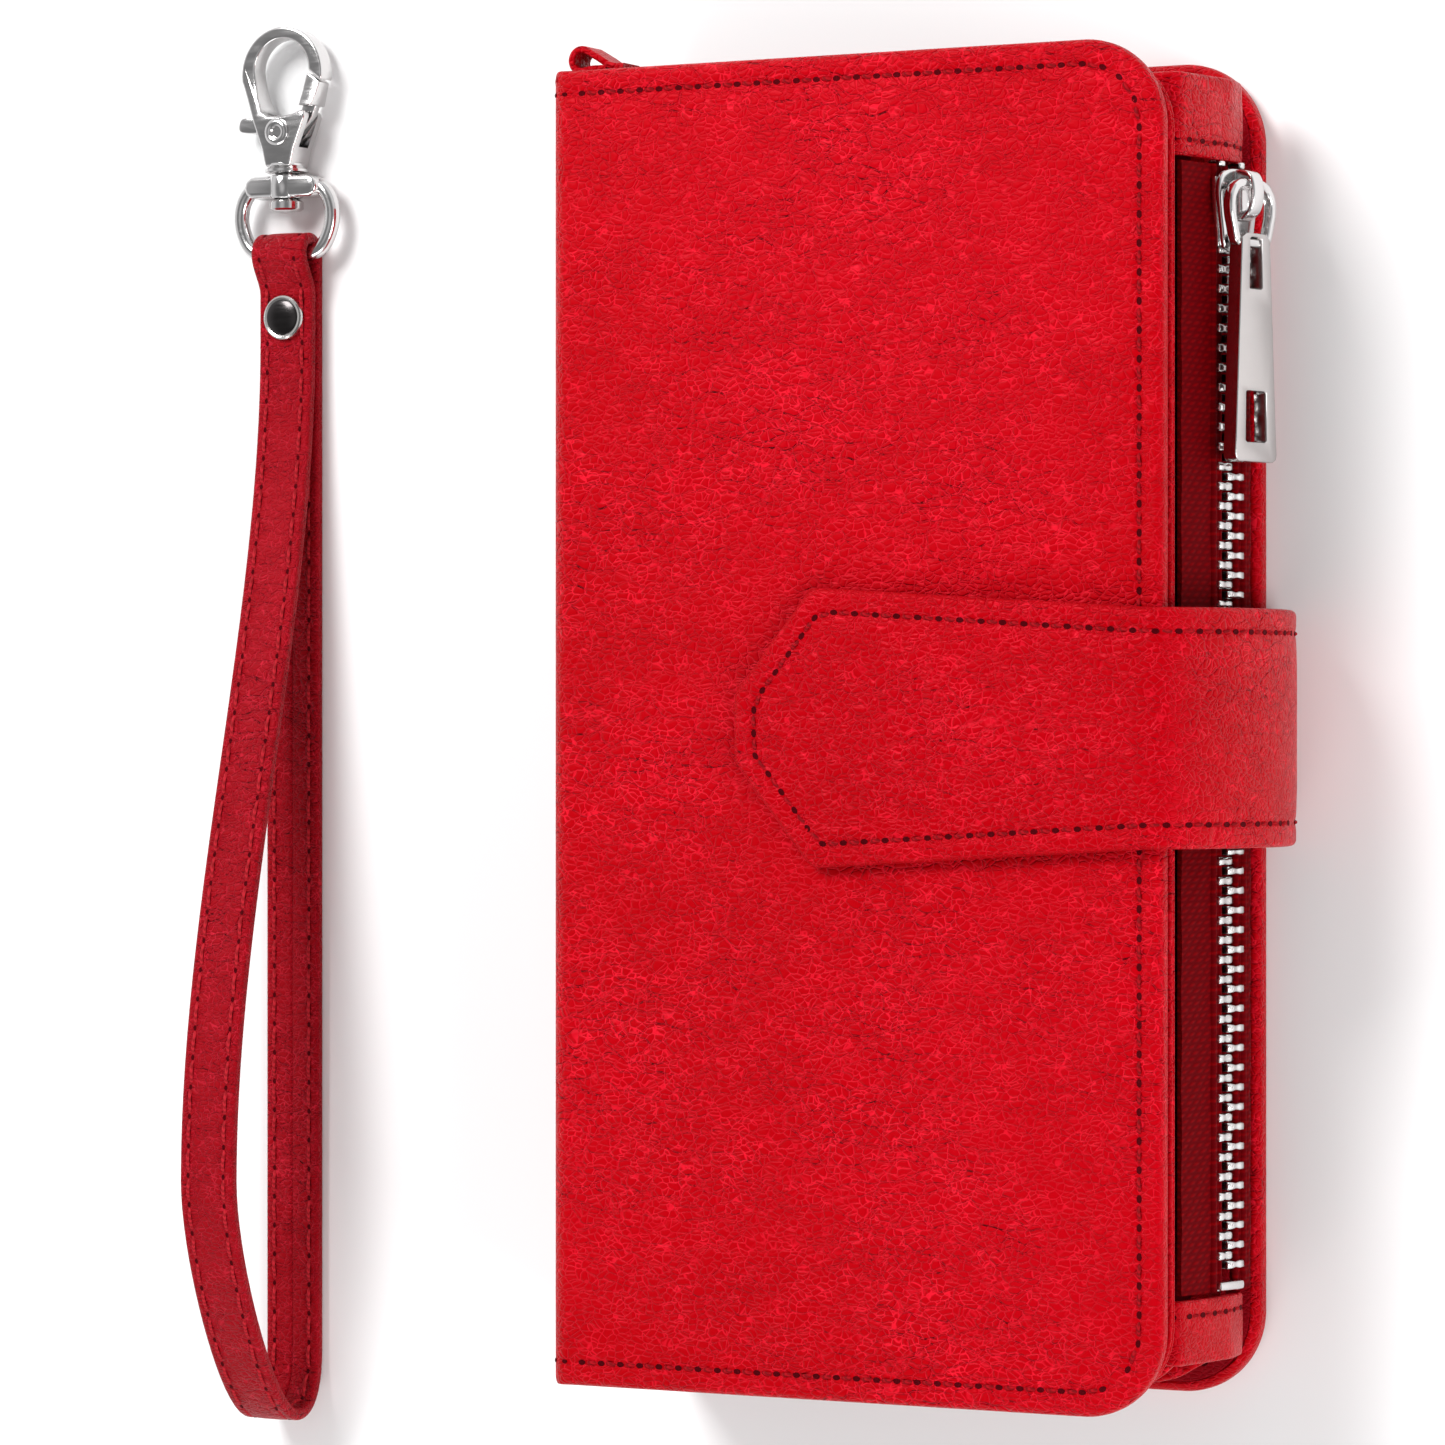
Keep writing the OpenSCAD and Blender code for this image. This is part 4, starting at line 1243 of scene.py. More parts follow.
wall("pouch_front_panel", front_track, 1.0, "pouch_front_wall", RED, 1)
wall("pouch_back_panel", back_track, 0.8, "pouch_back_wall", RED, -1)
(vx0, _, vz0), (vx1, vhh, vz1) = box_mm("pouch_spine_wall")
V_H = vz1 - vz0
v_cols = SHORT[:4] + [1 + (V_H - 2) * i / 8 for i in range(9)] + [V_H - v for v in SHORT[:4]]
v_cols = tidy_cols(v_cols)


def v_round(s, y):
    return (1 - roll(edge_dist(s, y, 0, V_H, vhh, 0.3, 0.3), 0.5)) * 0.5


def v_over(s, y):
    return (vx1 - vx0) - v_round(s, y)


v_wall = slab(
    "pouch_spine_panel", v_cols, lambda s: vhh, lambda s, y, h: (vx0 + h, y, vz0 + s), v_over, v_round, RED,
    SHORT, 10,
)
put(v_wall, "zip_pouch", "red_leather", "pouch_spine_wall")
for tag, sign in ENDS:
    node = f"pouch_gusset_{tag}"
    (gx0, gy0, gz0), (gx1, gy1, gz1) = box_mm(node)
    gy = gy1 if sign > 0 else gy0
    cols = [gx0 + 0.2 + (gx1 - gx0 - 0.4) * i / 24 for i in range(25)]

    def fold_y(s, v, h):
        """The gusset tucks inwards at its middle, and each half bows a little."""
        tuck = 5.5 * (1 - abs(2 * v - 1)) * smooth((s - gx0) / 6)
        bow = 0.25 * math.sin(s * 0.7) * math.sin(math.pi * v)
        return gy - sign * (0.1 + tuck + bow) - sign * h

    def high(s):
        return gz1 - 0.25 - 2.7 * max(0.0, (s - (X1 - 22.2)) / 13.0)

    def fold_place(s, y, h):
        v = (y + 5.0) / 10.0
        return (s, fold_y(s, v, h), gz0 + 0.25 + (high(s) - gz0 - 0.25) * v)

    rows = [0, 0.4, 1.0, 2.0, 3.0, 4.0]
    gus = slab(
        f"{node}_fold", cols, lambda s: 5.0, fold_place, lambda s, y: 0.42, lambda s, y: 0.0, POUCH, rows,
        3,
    )
    put(gus, "zip_pouch", "pouch_cloth", node)
(nx0, _, nz0), (nx1, nhh, nz1) = box_mm("pouch_lining")
LINERS = [("front", [(nx0 + 0.1, nz1 - 0.17), (X1 - 22.2, nz1 - 0.17), (nx1 - 0.4, nz1 - 3.6)])]
LINERS += [("back", [(nx0 + 0.1, nz0 + 0.17), (nx1 - 0.4, nz0 + 0.17)])]


def liner_wave(s, y):
    return 0.04 * math.sin(s * 0.9 + y * 0.13)


for tag, line in LINERS:
    t_line = Track(rounded(line, [40] * (len(line) - 2), 2))
    end = t_line.s[-1]
    liner = slab(
        f"pouch_lining_{tag}", [end * i / 20 for i in range(21)],
        lambda s: half_width(min(t_line.at(s)[0].x, X1 - 1), X0, X1, nhh, None, CORNER), t_line.place,
        lambda s, y: 0.15 + liner_wave(s, y), lambda s, y: -0.15 + liner_wave(s, y), POUCH, SHORT, 24,
    )
    put(liner, "zip_pouch", "pouch_cloth", "pouch_lining")

# ---------- zip ----------

joints = {j["name"]: j for j in frame["joints"]}
t_axis = Vector(joints["link_swing"]["axis"])
TILT = math.atan2(-t_axis.x, t_axis.z)
LINK_N = 3.5
link_pos = Vector(joints["link_swing"]["pos_m"]) / MM
ZX = link_pos.x - LINK_N * math.cos(TILT)
ZZ = link_pos.z - LINK_N * math.sin(TILT)
LINK_Y = link_pos.y
EYE_Y = joints["plate_swing"]["pos_m"][1] / MM


def zat(n, y, t):
    """A point of the zip's own frame: n out of the chain, y along it, t across it."""
    return (ZX + n * math.cos(TILT) - t * math.sin(TILT), y, ZZ + n * math.sin(TILT) + t * math.cos(TILT))


N_DIR = Vector((math.cos(TILT), 0, math.sin(TILT)))
(_, ta0, _), (_, ta1, _) = box_mm("zip_tape_front")
tape_cols = [1.7, 1.9, 2.4, 2.8, 3.2, 3.9, 4.6, 5.4, 6.2, 7.0, 7.8, 8.6, 9.3, 9.75]
tape = slab(
    "zip_tape_front_weave", tape_cols, lambda s: ta1, lambda s, y, h: zat(h, y, s),
    lambda s, y: 0.3 + 0.06 * math.sin(y * 0.55 + s) - 0.12 * dip(s, 5.0, 0.3), lambda s, y: -0.3, TAPE,
    SHORT, 60,
)
put(tape, "zip_pouch", "zip_cloth", "zip_tape_front")
for tag, side in (("front", 1), ("back", -1)):
    cords = []
    for t, r in ((1.75, 0.42), (3.15, 0.58)):
        bead = [Vector(zat(0.0, ta0 + (ta1 - ta0) * i / 90, side * t)) for i in range(91)]
        cords.append(sweep(bead, circle(r, 12, 1.2), tuple(N_DIR)))
    built(f"zip_bead_{tag}", cords, TAPE, "zip_pouch", "zip_cloth")
(rx0, _, _), (_, rhh, _) = box_mm("zip_tape_back")
# The rear tape leaves the teeth along the zip, then turns in under the pouch
(ex, _, ez), (px, _, pz) = zat(0, 0, -1.7), zat(0, 0, -4.8)
rear = Track(rounded([(ex, ez), (px, pz), (px - 0.8, pz - 1.1), (rx0 + 0.3, pz - 1.1)], [1.2, 0.5]))
rear_cols = [rear.s[-1] * i / 24 for i in range(25)]
rear_tape = slab(
    "zip_tape_back_weave", rear_cols, lambda s: rhh, rear.place,
    lambda s, y: 0.3 + 0.04 * math.sin(y * 0.6), lambda s, y: -0.3, TAPE, SHORT, 60,
)
put(rear_tape, "zip_pouch", "zip_cloth", "zip_tape_back")


def tooth(y, side, thick):
    """A cast tooth: a body round the tape's bead, a narrower neck, and a head with a small nub."""
    verts = []
    rings = [(-0.5, 0.42, 0.55), (-0.42, 0.5, 0.72), (0.1, 0.525, 0.86), (0.6, 0.5, 0.88)]
    rings += [
        (1.0, 0.40, 0.80), (1.4, 0.42, 0.86), (1.75, 0.525, 0.95), (2.45, 0.525, 0.95), (2.55, 0.44, 0.85),
    ]
    section = []
    for k in range(12):
        a = 2 * math.pi * (k + 0.5) / 12
        section.append([math.copysign(abs(v) ** 0.45, v) for v in (math.cos(a), math.sin(a))])
    for t, hy, hn in rings:
        for a, b in section:
            verts.append(zat(hn * a * 0.98, y + hy * b * thick / 1.05, side * t))
    nub = lathe([(0.3, 0), (0.27, 0.08), (0.12, 0.13)], zat(0.8, y, side * 0.35), tuple(N_DIR), 8)
    return [(verts, ring_faces(len(rings), 12)), nub]


PITCH, COUNT, THICK = 2.4, 53, 1.05
for tag, side in (("front", 1), ("back", -1)):
    first = box_mm(f"zip_teeth_{tag}")[1][1] - THICK / 2
    parts = []
    for i in range(COUNT):
        parts += tooth(first - i * PITCH, side, THICK)
    put(joined(f"zip_teeth_{tag}_row", parts, TEETH, 50), "zip_pouch", "zip_metal", f"zip_teeth_{tag}")
(_, sy0, _), (_, sy1, _) = box_mm("zip_top_stops")
STOP_SIZES = [(0.55, 1.7, 0.25), (0.8, 2.0, 0.3), (0.85, 2.1, 0.3)]
STOP_SIZES += STOP_SIZES[1::-1]
stops = []
for s in (-1, 1):
    clip = [Vector(zat(0, (sy0 + sy1) / 2, s * t)) for t in (1.5, 1.65, 2.1, 2.5, 2.65)]
    stops.append(sweep(clip, bars(STOP_SIZES), tuple(N_DIR)))
built("zip_top_stop_clips", stops, TEETH, "zip_pouch", "zip_metal", "zip_top_stops")
(_, by0, _), (_, by1, _) = box_mm("zip_bottom_stop")
BOX_SIZES = [(0.7, 1.6, 0.3), (1.05, 2.0, 0.35), (1.1, 2.1, 0.35)]
BOX_SIZES = BOX_SIZES + BOX_SIZES[2:] + BOX_SIZES[::-1]
box_line = [Vector(zat(0, (by0 + by1) / 2, t)) for t in (-2.5, -2.35, -1.4, 0, 1.4, 2.35, 2.5)]
b_stop = sweep(box_line, bars(BOX_SIZES), tuple(N_DIR))
built("zip_bottom_stop_clip", [b_stop], TEETH, "zip_pouch", "zip_metal", "zip_bottom_stop")

# ---------- folded tabs over the ends of the zip ----------

for tag, sign in ENDS:
    node = f"zip_end_tab_{tag}"
    (_, ay0, _), (_, ay1, _) = box_mm(node)
    reach = 10.0 if sign > 0 else 7.8
    near = ay0 if sign > 0 else ay1
    mid_y, hw = near + sign * reach / 2, reach / 2
    tab_line = [(-5, 11.5), (-1.8, 11.1), (0.3, 0.5), (-0.5, -4.2), (-2.6, -6.3)]
    tab_line = [(X1 + x, ZZ + z) for x, z in tab_line]
    track = Track(rounded(tab_line, [0.9, 6, 1.2], 8)[::-1])
    end = track.s[-1]

    def tab_d(s, y):
        return max(min(hw - abs(y), s, end - s), 0)

    def tab_up(s, y):
        d = tab_d(s, y)
        buckle = 0.16 * math.sin(s * 0.55 + 0.6) * math.sin((y + hw) * 0.35)
        return 0.62 - (1 - roll(d, 0.5)) * 0.55 - 0.12 * dip(hw + sign * y, TAB_SEAM, 0.35) + buckle

    def tab_down(s, y):
        return -0.5 + (1 - roll(tab_d(s, y), 0.5)) * 0.45

    def tab_place(s, y, h):
        x, _, z = track.place(s, 0, -h)
        return (x, mid_y + y, z)

    cols = tidy_cols([end * i / 40 for i in range(41)] + FINE[1:5] + [end - v for v in FINE[1:5]])
    rows = [0, 0.05, 0.14, 0.28, 0.46, 0.8, 1.4, 1.7, 1.9, 2.1, 2.4, 3.2]
    ob = slab(f"{node}_leather", cols, lambda s: hw, tab_place, tab_up, tab_down, RED_STRAP, rows, 4)
    put(ob, "zip_pouch", "red_leather", node)
    seq = [1.0 + (end - 2.0) * i / 40 for i in range(41)]
    y_in = -sign * (hw - TAB_SEAM)
    pts = [tab_place(s, y_in, tab_up(s, y_in)) for s in seq]
    ups = [track.up(s, -1) for s in seq]
    stitch(f"{node}_stitch", pts, ups, 2.6, riding("zip_pouch"), "red_leather", r=0.19)

# ---------- slider, link and pull plate ----------

(_, l0, _), (_, l1, _) = box_mm("slider_body")


def zplace(u, v, w):
    """Plan (y, t) and height n of the zip's frame."""
    return zat(w, u, v)


flank = [(l1 - 0.15, 1.9), (l1 - 0.9, 3.5), (l1 - 2.6, 4.0), (l1 - 5.0, 3.75), (l1 - 7.6, 3.3)]
flank += [(l0 + 0.7, 3.05), (l0 + 0.1, 2.3)]
shield = [(l1, 0)] + flank + [(l0, 0)] + [(y, -t) for y, t in reversed(flank)]
shield = plan_line(shield, 4, True)
top_plate = extruded("slider_top_plate", shield, 1.08, 1.92, NICKEL, 0.3, zplace)
put(top_plate, "zip_slider", "bright_nickel", "slider_body")
low_plate = extruded("slider_bottom_plate", shield, -1.92, -1.08, NICKEL, 0.3, zplace)
put(low_plate, "zip_slider", "bright_nickel")
flanges = []
flange_ys = [l0 + 0.5 + (l1 - l0 - 1.6) * i / 12 for i in range(13)]
for e in (-1, 1):
    for s in (-1, 1):
        pts = [Vector(zat(s * 0.85, y, e * (3.62 - 0.55 * smooth((l1 - 3 - y) / 6)))) for y in flange_ys]
        flanges.append(sweep(pts, bar(0.6, 0.62, 0.15, 2), tuple(N_DIR)))
built("slider_side_flanges", flanges, NICKEL, "zip_slider", "bright_nickel")
c0 = LINK_Y - 4.3
crown_out = [(0, 1.9), (0.15, 3.1), (1.0, 4.35), (2.6, 4.9), (4.4, 4.88), (5.7, 4.3)]
crown_out += [(6.2, 3.1), (6.2, 1.9)]
crown_out = [(c0 + y, n) for y, n in plan_line(crown_out, 4)]
slot_in = [(1.15, 2.78), (4.95, 2.78), (5.1, 3.2), (5.0, 3.9), (4.4, 4.22), (2.4, 4.2)]
slot_in = [(c0 + y, n) for y, n in slot_in + [(1.4, 3.8), (1.1, 3.3)]]


def crown_place(u, v, w):
    return zat(v, u, w)


crown = extruded("slider_crown_arch", crown_out, -1.1, 1.1, NICKEL, 0.28, crown_place, [slot_in])
put(crown, "zip_slider", "bright_nickel", "slider_crown")

REACH = EYE_Y - LINK_Y
loop_half = [(0, 0), (0.15, 1.7), (-0.35, 3.2), (-1.7, 4.15), (-3.4, 4.2), (-5.0, 3.75)]
loop_half += [(REACH + 0.75, 3.35), (REACH + 0.1, 2.75), (REACH, 1.4)]
loop_pts = loop_half + [(REACH, 0)] + [(y, -t) for y, t in reversed(loop_half[1:])]
link_line = [Vector(zat(LINK_N, LINK_Y + y, t)) for y, t in plan_line(loop_pts, 6, True)]
link = sweep(link_line, bar(1.15, 1.45, 0.42, 4), tuple(N_DIR), True)
built("pull_link_loop", [link], NICKEL, "zip_link", "bright_nickel", "pull_link")

P_TOP, P_END, BAR_TOP, BAR_END = EYE_Y + 1.15, EYE_Y - 26.6, 2.9, 4.35


def plate_half(y):
    return BAR_TOP + (BAR_END - BAR_TOP) * min(1.0, (P_TOP - y) / (P_TOP - P_END))


plate_line = [(P_TOP, -1.7), (P_TOP - 0.2, -2.2), (P_TOP - 0.7, -plate_half(P_TOP - 0.7))]
plate_ys = [P_TOP - 0.7 + (P_END + 1.6 - P_TOP) * i / 12 for i in range(1, 12)]
plate_line += [(y, -plate_half(y)) for y in plate_ys]
plate_line += [(P_END + 0.9, -BAR_END), (P_END + 0.3, -BAR_END + 0.2), (P_END, -BAR_END + 0.8)]
plate_line = plate_line + [(y, -t) for y, t in reversed(plate_line)]


def plate_slot(y0, w0, y1, w1, nip=0.3):
    """A slot with nipped corners, with half width w0 at its low end y0 and w1 at its high end y1."""
    low = [(y0 + 0.2, -w0), (y0, nip - w0), (y0, w0 - nip), (y0 + 0.2, w0)]
    return low + [(y1 - 0.2, w1), (y1, w1 - 0.3), (y1, 0.3 - w1), (y1 - 0.2, -w1)]


slots = [plate_slot(P_TOP - 6.8, 1.35, P_TOP - 0.5, 1.2, 0.25)]
slots.append(plate_slot(P_END + 2.4, 2.2, P_END + 8.6, 2.1))
plate = extruded("pull_plate_body", plate_line, LINK_N - 0.95, LINK_N + 1.0, PLATE, 0.32, zplace, slots)
put(plate, "zip_pull", "bright_nickel", "pull_plate")

# ---------- closure strap ----------

_, (_, SHALF, _) = box_mm("strap_side_leather")
(tipx0, _, tipz0), (_, TIPHALF, tipz1) = box_mm("strap_tip_leather", "strap_tip_lining")
TZ = (tipz0 + tipz1) / 2
# The strap's middle line: from under the back cover, in a bow round the fore edge, onto the front
bow = [(-1.6, 1.5), (0.6, 1.35), (2.6, 2.5), (5.0, 6.0), (6.7, 10.5), (7.35, 15.5), (7.0, 20.5)]
bow += [(5.7, 25.4), (3.9, 29.4), (1.9, 32.4), (-0.4, 33.95), (-3.4, TZ - 0.06), (-8, TZ)]
line_2d = plan_line([(X1 + x, z) for x, z in bow], 7)
line_2d += [(X1 - 8 - 1.5 * i, TZ) for i in range(1, 33)]
line_2d = [p for p in line_2d if p[0] > tipx0 + 1] + [(tipx0, TZ)]
strap = Track(line_2d[::-1])
S_STRAP = strap.s[-1]
CORNER_S = strap.s_at_x(X1 - 46)
FORE_S = strap.s_at_x(X1 - 1)
NOSE = 4.2
STRAP_SEAM = 2.9


def soft_min(a, b, k):
    h = max(k - abs(a - b), 0) / k
    return min(a, b) - h * h * k / 4


def strap_lines(s):
    """Half width of the pointed nose and of the body, each carried on past where they meet."""
    nose = NOSE + (TIPHALF - NOSE) * s / CORNER_S
    return nose, SHALF + (TIPHALF - SHALF) * max(0.0, (FORE_S - s) / (FORE_S - CORNER_S))


def strap_half(s):
    w = soft_min(*strap_lines(s), 1.6)
    return w - 1.4 + math.sqrt(max(0.0, 1.96 - (1.4 - s) ** 2)) if s < 1.4 else w


A_NOSE = math.cos(math.atan2(TIPHALF - NOSE, CORNER_S))


def strap_dist(s, y):
    nose, body = strap_lines(s)
    return max(min(soft_min((nose - abs(y)) * A_NOSE, body - abs(y), 1.2), s), 0)


# Place, depth and width of the creases across the strap
CREASES = [(15.5, 0.1, 0.5), (17.6, 0.07, 0.4), (26.5, 0.05, 0.7), (36.0, 0.05, 0.6)]
CREASES = [(CORNER_S + c, a, w) for c, a, w in CREASES]


def strap_out(s, y):
    d = strap_dist(s, y)
    fold = sum(a * dip(s + 0.25 * math.sin(y * 0.5), c, w) * smooth((d - 0.5) / 2) for c, a, w in CREASES)
    puff = 0.10 * smooth((d - 3.2) / 4)
    return 0.95 - (1 - roll(d, 0.8, 0.1)) * 0.9 - 0.18 * dip(d, STRAP_SEAM, 0.5) - fold + puff


def strap_in(s, y):
    d = strap_dist(s, y)
    return -0.93 + (1 - roll(d, 0.8, 0.1)) * 0.85 + 0.1 * dip(d, STRAP_SEAM, 0.34)


CUT_S = S_STRAP - 14.0
TIP_COLS = FINE + [1.4 * (1 - math.cos(math.radians(a))) for a in range(0, 91, 10)]
TIP_COLS += [CORNER_S + v for v in (-2, -1.4, -0.9, -0.5, -0.2, 0, 0.2, 0.5, 0.9, 1.4, 2)]
TIP_COLS += [c + v * w for c, a, w in CREASES for v in (-2, -1.2, -0.6, 0, 0.6, 1.2, 2)]
TIP_COLS += [CUT_S * i / 90 for i in range(91)]
TIP_COLS = [s for s in tidy_cols(TIP_COLS, 0.05) if s <= CUT_S]
ROOT_COLS = [CUT_S + (S_STRAP - CUT_S) * i / 24 for i in range(25)]
tip_bend = bending("strap_side", "strap_tip", (X1 + 3.4, 0, TOP_Z - 4.6), (X1 - 3.5, 0, TOP_Z + 1.6))
root_bend = bending("back_half", "strap_side", (X1 + 0.3, 0, 0.8), (X1 + 5.2, 0, 7.5))
LAYERS = (
    ("leather", RED_STRAP, strap_out, lambda s, y: 0.02, "red_leather"),
    ("lining", DARK, lambda s, y: -0.02, strap_in, "dark_lining"),
)
for tag, cols, mover in (("tip", TIP_COLS, tip_bend), ("root", ROOT_COLS, root_bend)):
    for layer, mat, top, low, slot_name in LAYERS:

        def over(s, y):
            return max(top(s, y), low(s, y) + 0.02)

        ob = slab(f"strap_{tag}_{layer}_skin", cols, strap_half, strap.place, over, low, mat, FINE, 8)
        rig.slot(ob, slot_name)
        mover(ob)
        if tag == "tip":
            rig.replaces(ob, f"strap_tip_{layer}", f"strap_side_{layer}")


def strap_edge(inset):
    """(s, y) along one side of the strap, inset from its edge, from the root to the nose's middle."""
    out = []
    steps = 260
    for i in range(steps + 1):
        s = S_STRAP - 1.0 - (S_STRAP - 1.0 - inset) * i / steps
        nose, body = strap_lines(s)
        out.append((s, soft_min(nose - inset / A_NOSE, body - inset, 1.0)))
    y_end = out[-1][1]
    out += [(inset, y_end * (1 - i / 6)) for i in range(1, 7)]
    return out


half_edge = strap_edge(STRAP_SEAM)
whole_edge = half_edge + [(s, -y) for s, y in reversed(half_edge[:-1])]
seams = [("tip", [q for q in whole_edge if q[0] <= CUT_S], tip_bend, (1, -1))]
for tag, sign in (("upper", 1), ("lower", -1)):
    seams.append((f"root_{tag}", [(s, sign * y) for s, y in half_edge if s > CUT_S], root_bend, (1,)))
for tag, line, mover, faces in seams:
    for face in faces:
        side, skin = ("out", strap_out) if face > 0 else ("in", strap_in)
        pts = [strap.place(s, y, skin(s, y)) for s, y in line]
        ups = [strap.up(s, face) for s, y in line]
        stitch(f"strap_{tag}_{side}_stitch", pts, ups, 2.85, mover, "red_leather", r=0.22, start=0.9)

# ---------- lanyard loop ----------

(_, _, kz0), (kx1, _, kz1) = box_mm("lanyard_loop")
KX, KY, KR = X0 + 2.8, HH + 1.6, 1.4
zc = (kz0 + kz1) / 2
ring = arc(KX, KY, KR, 60, 285, 15)
plan = [(kx1 - 0.3, HH + 0.55), (kx1 - 2.2, HH + 0.75), (KX + 2.6, HH + 1.7)] + ring
plan += [(KX + 1.6, HH + 0.45), (KX + 3.6, HH + 0.42)]
loop3 = [Vector((x, y, zc)) for x, y in plan_line(plan, 3)]
loop_strip = sweep(loop3, bar(0.85, kz1 - kz0, 0.3), (0, 0, 1))
built("lanyard_loop_strip", [loop_strip], RED, "back_half", "red_leather", "lanyard_loop")

# ---------- wrist band ----------

(WX0, _, _), (WX1, _, BAND_TOP) = box_mm("band_leather")
WCX, WHALF = (WX0 + WX1) / 2, (WX1 - WX0) / 2
# Thickness of the doubled band, and how far its seams run inside its edges
BT, BAND_SEAM = 1.6, 1.4
HARD_Z = joints["ring_swing"]["pos_m"][2] / MM
FOLD_Y = joints["ring_swing"]["pos_m"][1] / MM
ARCH_H = BAND_TOP - BT / 2
FOLD_R = HARD_Z - BT / 2
RIVET_Y = (box_mm("rivet_cap")[0][1] + box_mm("rivet_cap")[1][1]) / 2
PINCH, ARCH_Y, BOTTOM_Y, LEG_Z = BT * 1.5 + 0.15, -60.0, -92.0, BT / 2


def bez(a, b, c, d, u):
    k = (1 - u) ** 3, 3 * u * (1 - u) ** 2, 3 * u * u * (1 - u), u**3
    return tuple(k[0] * a[i] + k[1] * b[i] + k[2] * c[i] + k[3] * d[i] for i in range(2))


band = arc(FOLD_Y, HARD_Z, FOLD_R, -90, 70, 16)
FOLD_TOP, NECK_Y, LEG_Y = HARD_Z + FOLD_R, RIVET_Y - 3.3, BOTTOM_Y + 8
band += [(FOLD_Y - 5.4 * i / 8, FOLD_TOP - (FOLD_TOP - PINCH) * smooth(i / 8)) for i in range(9)]
band += [
    (NECK_Y - (NECK_Y - ARCH_Y) * i / 50, PINCH + (ARCH_H - PINCH) * smooth(i / 50))
    for i in range(51)
]
arch = (ARCH_Y, ARCH_H), (ARCH_Y - 10, ARCH_H), (BOTTOM_Y + 2, 13), (BOTTOM_Y, 7)
band += [bez(*arch, i / 18) for i in range(1, 19)]
heel = (BOTTOM_Y, 7), (BOTTOM_Y - 1, 4), (BOTTOM_Y + 1, LEG_Z), (LEG_Y, LEG_Z)
band += [bez(*heel, i / 12) for i in range(1, 13)]
band += [(LEG_Y + (RIVET_Y + 5 - LEG_Y) * i / 50, LEG_Z) for i in range(1, 51)]
NB = len(band)
band_n = []
for i in range(NB):
    (ya, za), (yb, zb) = band[i - 1], band[(i + 1) % NB]
    ln = math.hypot(yb - ya, zb - za)
    band_n.append(((zb - za) / ln, -(yb - ya) / ln))


def band_place(i, y, h):
    i = int(i) % NB
    (py, pz), (ny, nz) = band[i], band_n[i]
    return (WCX + y, py + ny * h, pz + nz * h)


def band_outer(i, y):
    d = WHALF - abs(y)
    edge = 0.8 - (1 - roll(d, 0.55, 0.1)) * 0.68
    return edge - 0.09 * dip(d, BAND_SEAM, 0.26) + 0.05 * smooth((d - 1.6) / 1.5)


def band_inner(i, y):
    d = WHALF - abs(y)
    edge = -0.8 + (1 - roll(d, 0.55, 0.1)) * 0.68
    return edge + 0.07 * dip(d, BAND_SEAM, 0.26) + 0.22 * dip(y, 0, 0.16)


BAND_ROWS = [0, 0.05, 0.15, 0.3, 0.5, 0.9, 1.15, 1.3, BAND_SEAM, 1.5, 1.65, 2.0, 2.8, 3.6, 3.9]
for tag, top, low, slot_name, node in (
    ("outer", band_outer, lambda s, y: 0.02, "red_leather", "band_leather"),
    ("inner", lambda s, y: -0.02, band_inner, "dark_lining", "band_lining"),
):
    ob = slab(
        f"wrist_band_{tag}", list(range(NB)), lambda s: WHALF, band_place, top, low, RED_BAND, BAND_ROWS, 1,
        True,
    )
    put(ob, "wrist_band", slot_name, node)
for face, fn, sign in (("outer", band_outer, 1), ("inner", band_inner, -1)):
    for tag, y in (("left", BAND_SEAM - WHALF), ("right", WHALF - BAND_SEAM)):
        idx = [i for i in range(2, NB) if not (sign < 0 and band[i][0] > RIVET_Y - 6)]
        pts = [band_place(i, y, fn(i, y)) for i in idx]
        ups = [(0, band_n[i][0] * sign, band_n[i][1] * sign) for i in idx]
        stitch(
            f"wrist_band_{face}_{tag}_stitch", pts, ups, 3.9, riding("wrist_band"), "red_leather",
            THREAD_DULL, r=0.27, fill=0.84, hole=(0.34, 0.24),
        )

(_, _, rz0), (_, _, rz1) = box_mm("rivet_cap")
cap_h = rz1 - rz0
UP, ALONG = (0, 0, 1), (0, 1, 0)
rivet_at = (WCX, RIVET_Y, rz0)
dome = [(2.6, -0.02), (2.85, 0.05), (2.88, 0.22), (2.78, 0.38), (2.55, 0.5)]
dome += arc(0, 0.5, 2.5, 12, 77, 5, cap_h - 0.45)
turned("rivet_cap_dome", dome, rivet_at, UP, 40, RIVET, "wrist_band", "dark_rivet", "rivet_cap")
lip = [(2.52, 0.1), (2.95, 0.0), (3.05, 0.25), (2.95, 0.55), (2.72, 0.68), (2.5, 0.6)]
turned("rivet_cap_rim", lip, rivet_at, UP, 40, RIM, "wrist_band", "dark_rivet")
(_, _, qz0), (_, _, qz1) = box_mm("rivet_post")
foot = [(2.3, 0.0), (2.55, 0.08), (2.6, 0.25), (2.45, 0.42), (1.05, 0.45), (1.05, qz1 - qz0)]
turned("rivet_foot", foot, (WCX, RIVET_Y, qz0), UP, 36, RIVET, "wrist_band", "dark_rivet", "rivet_post")

# ---------- swivel ring ----------

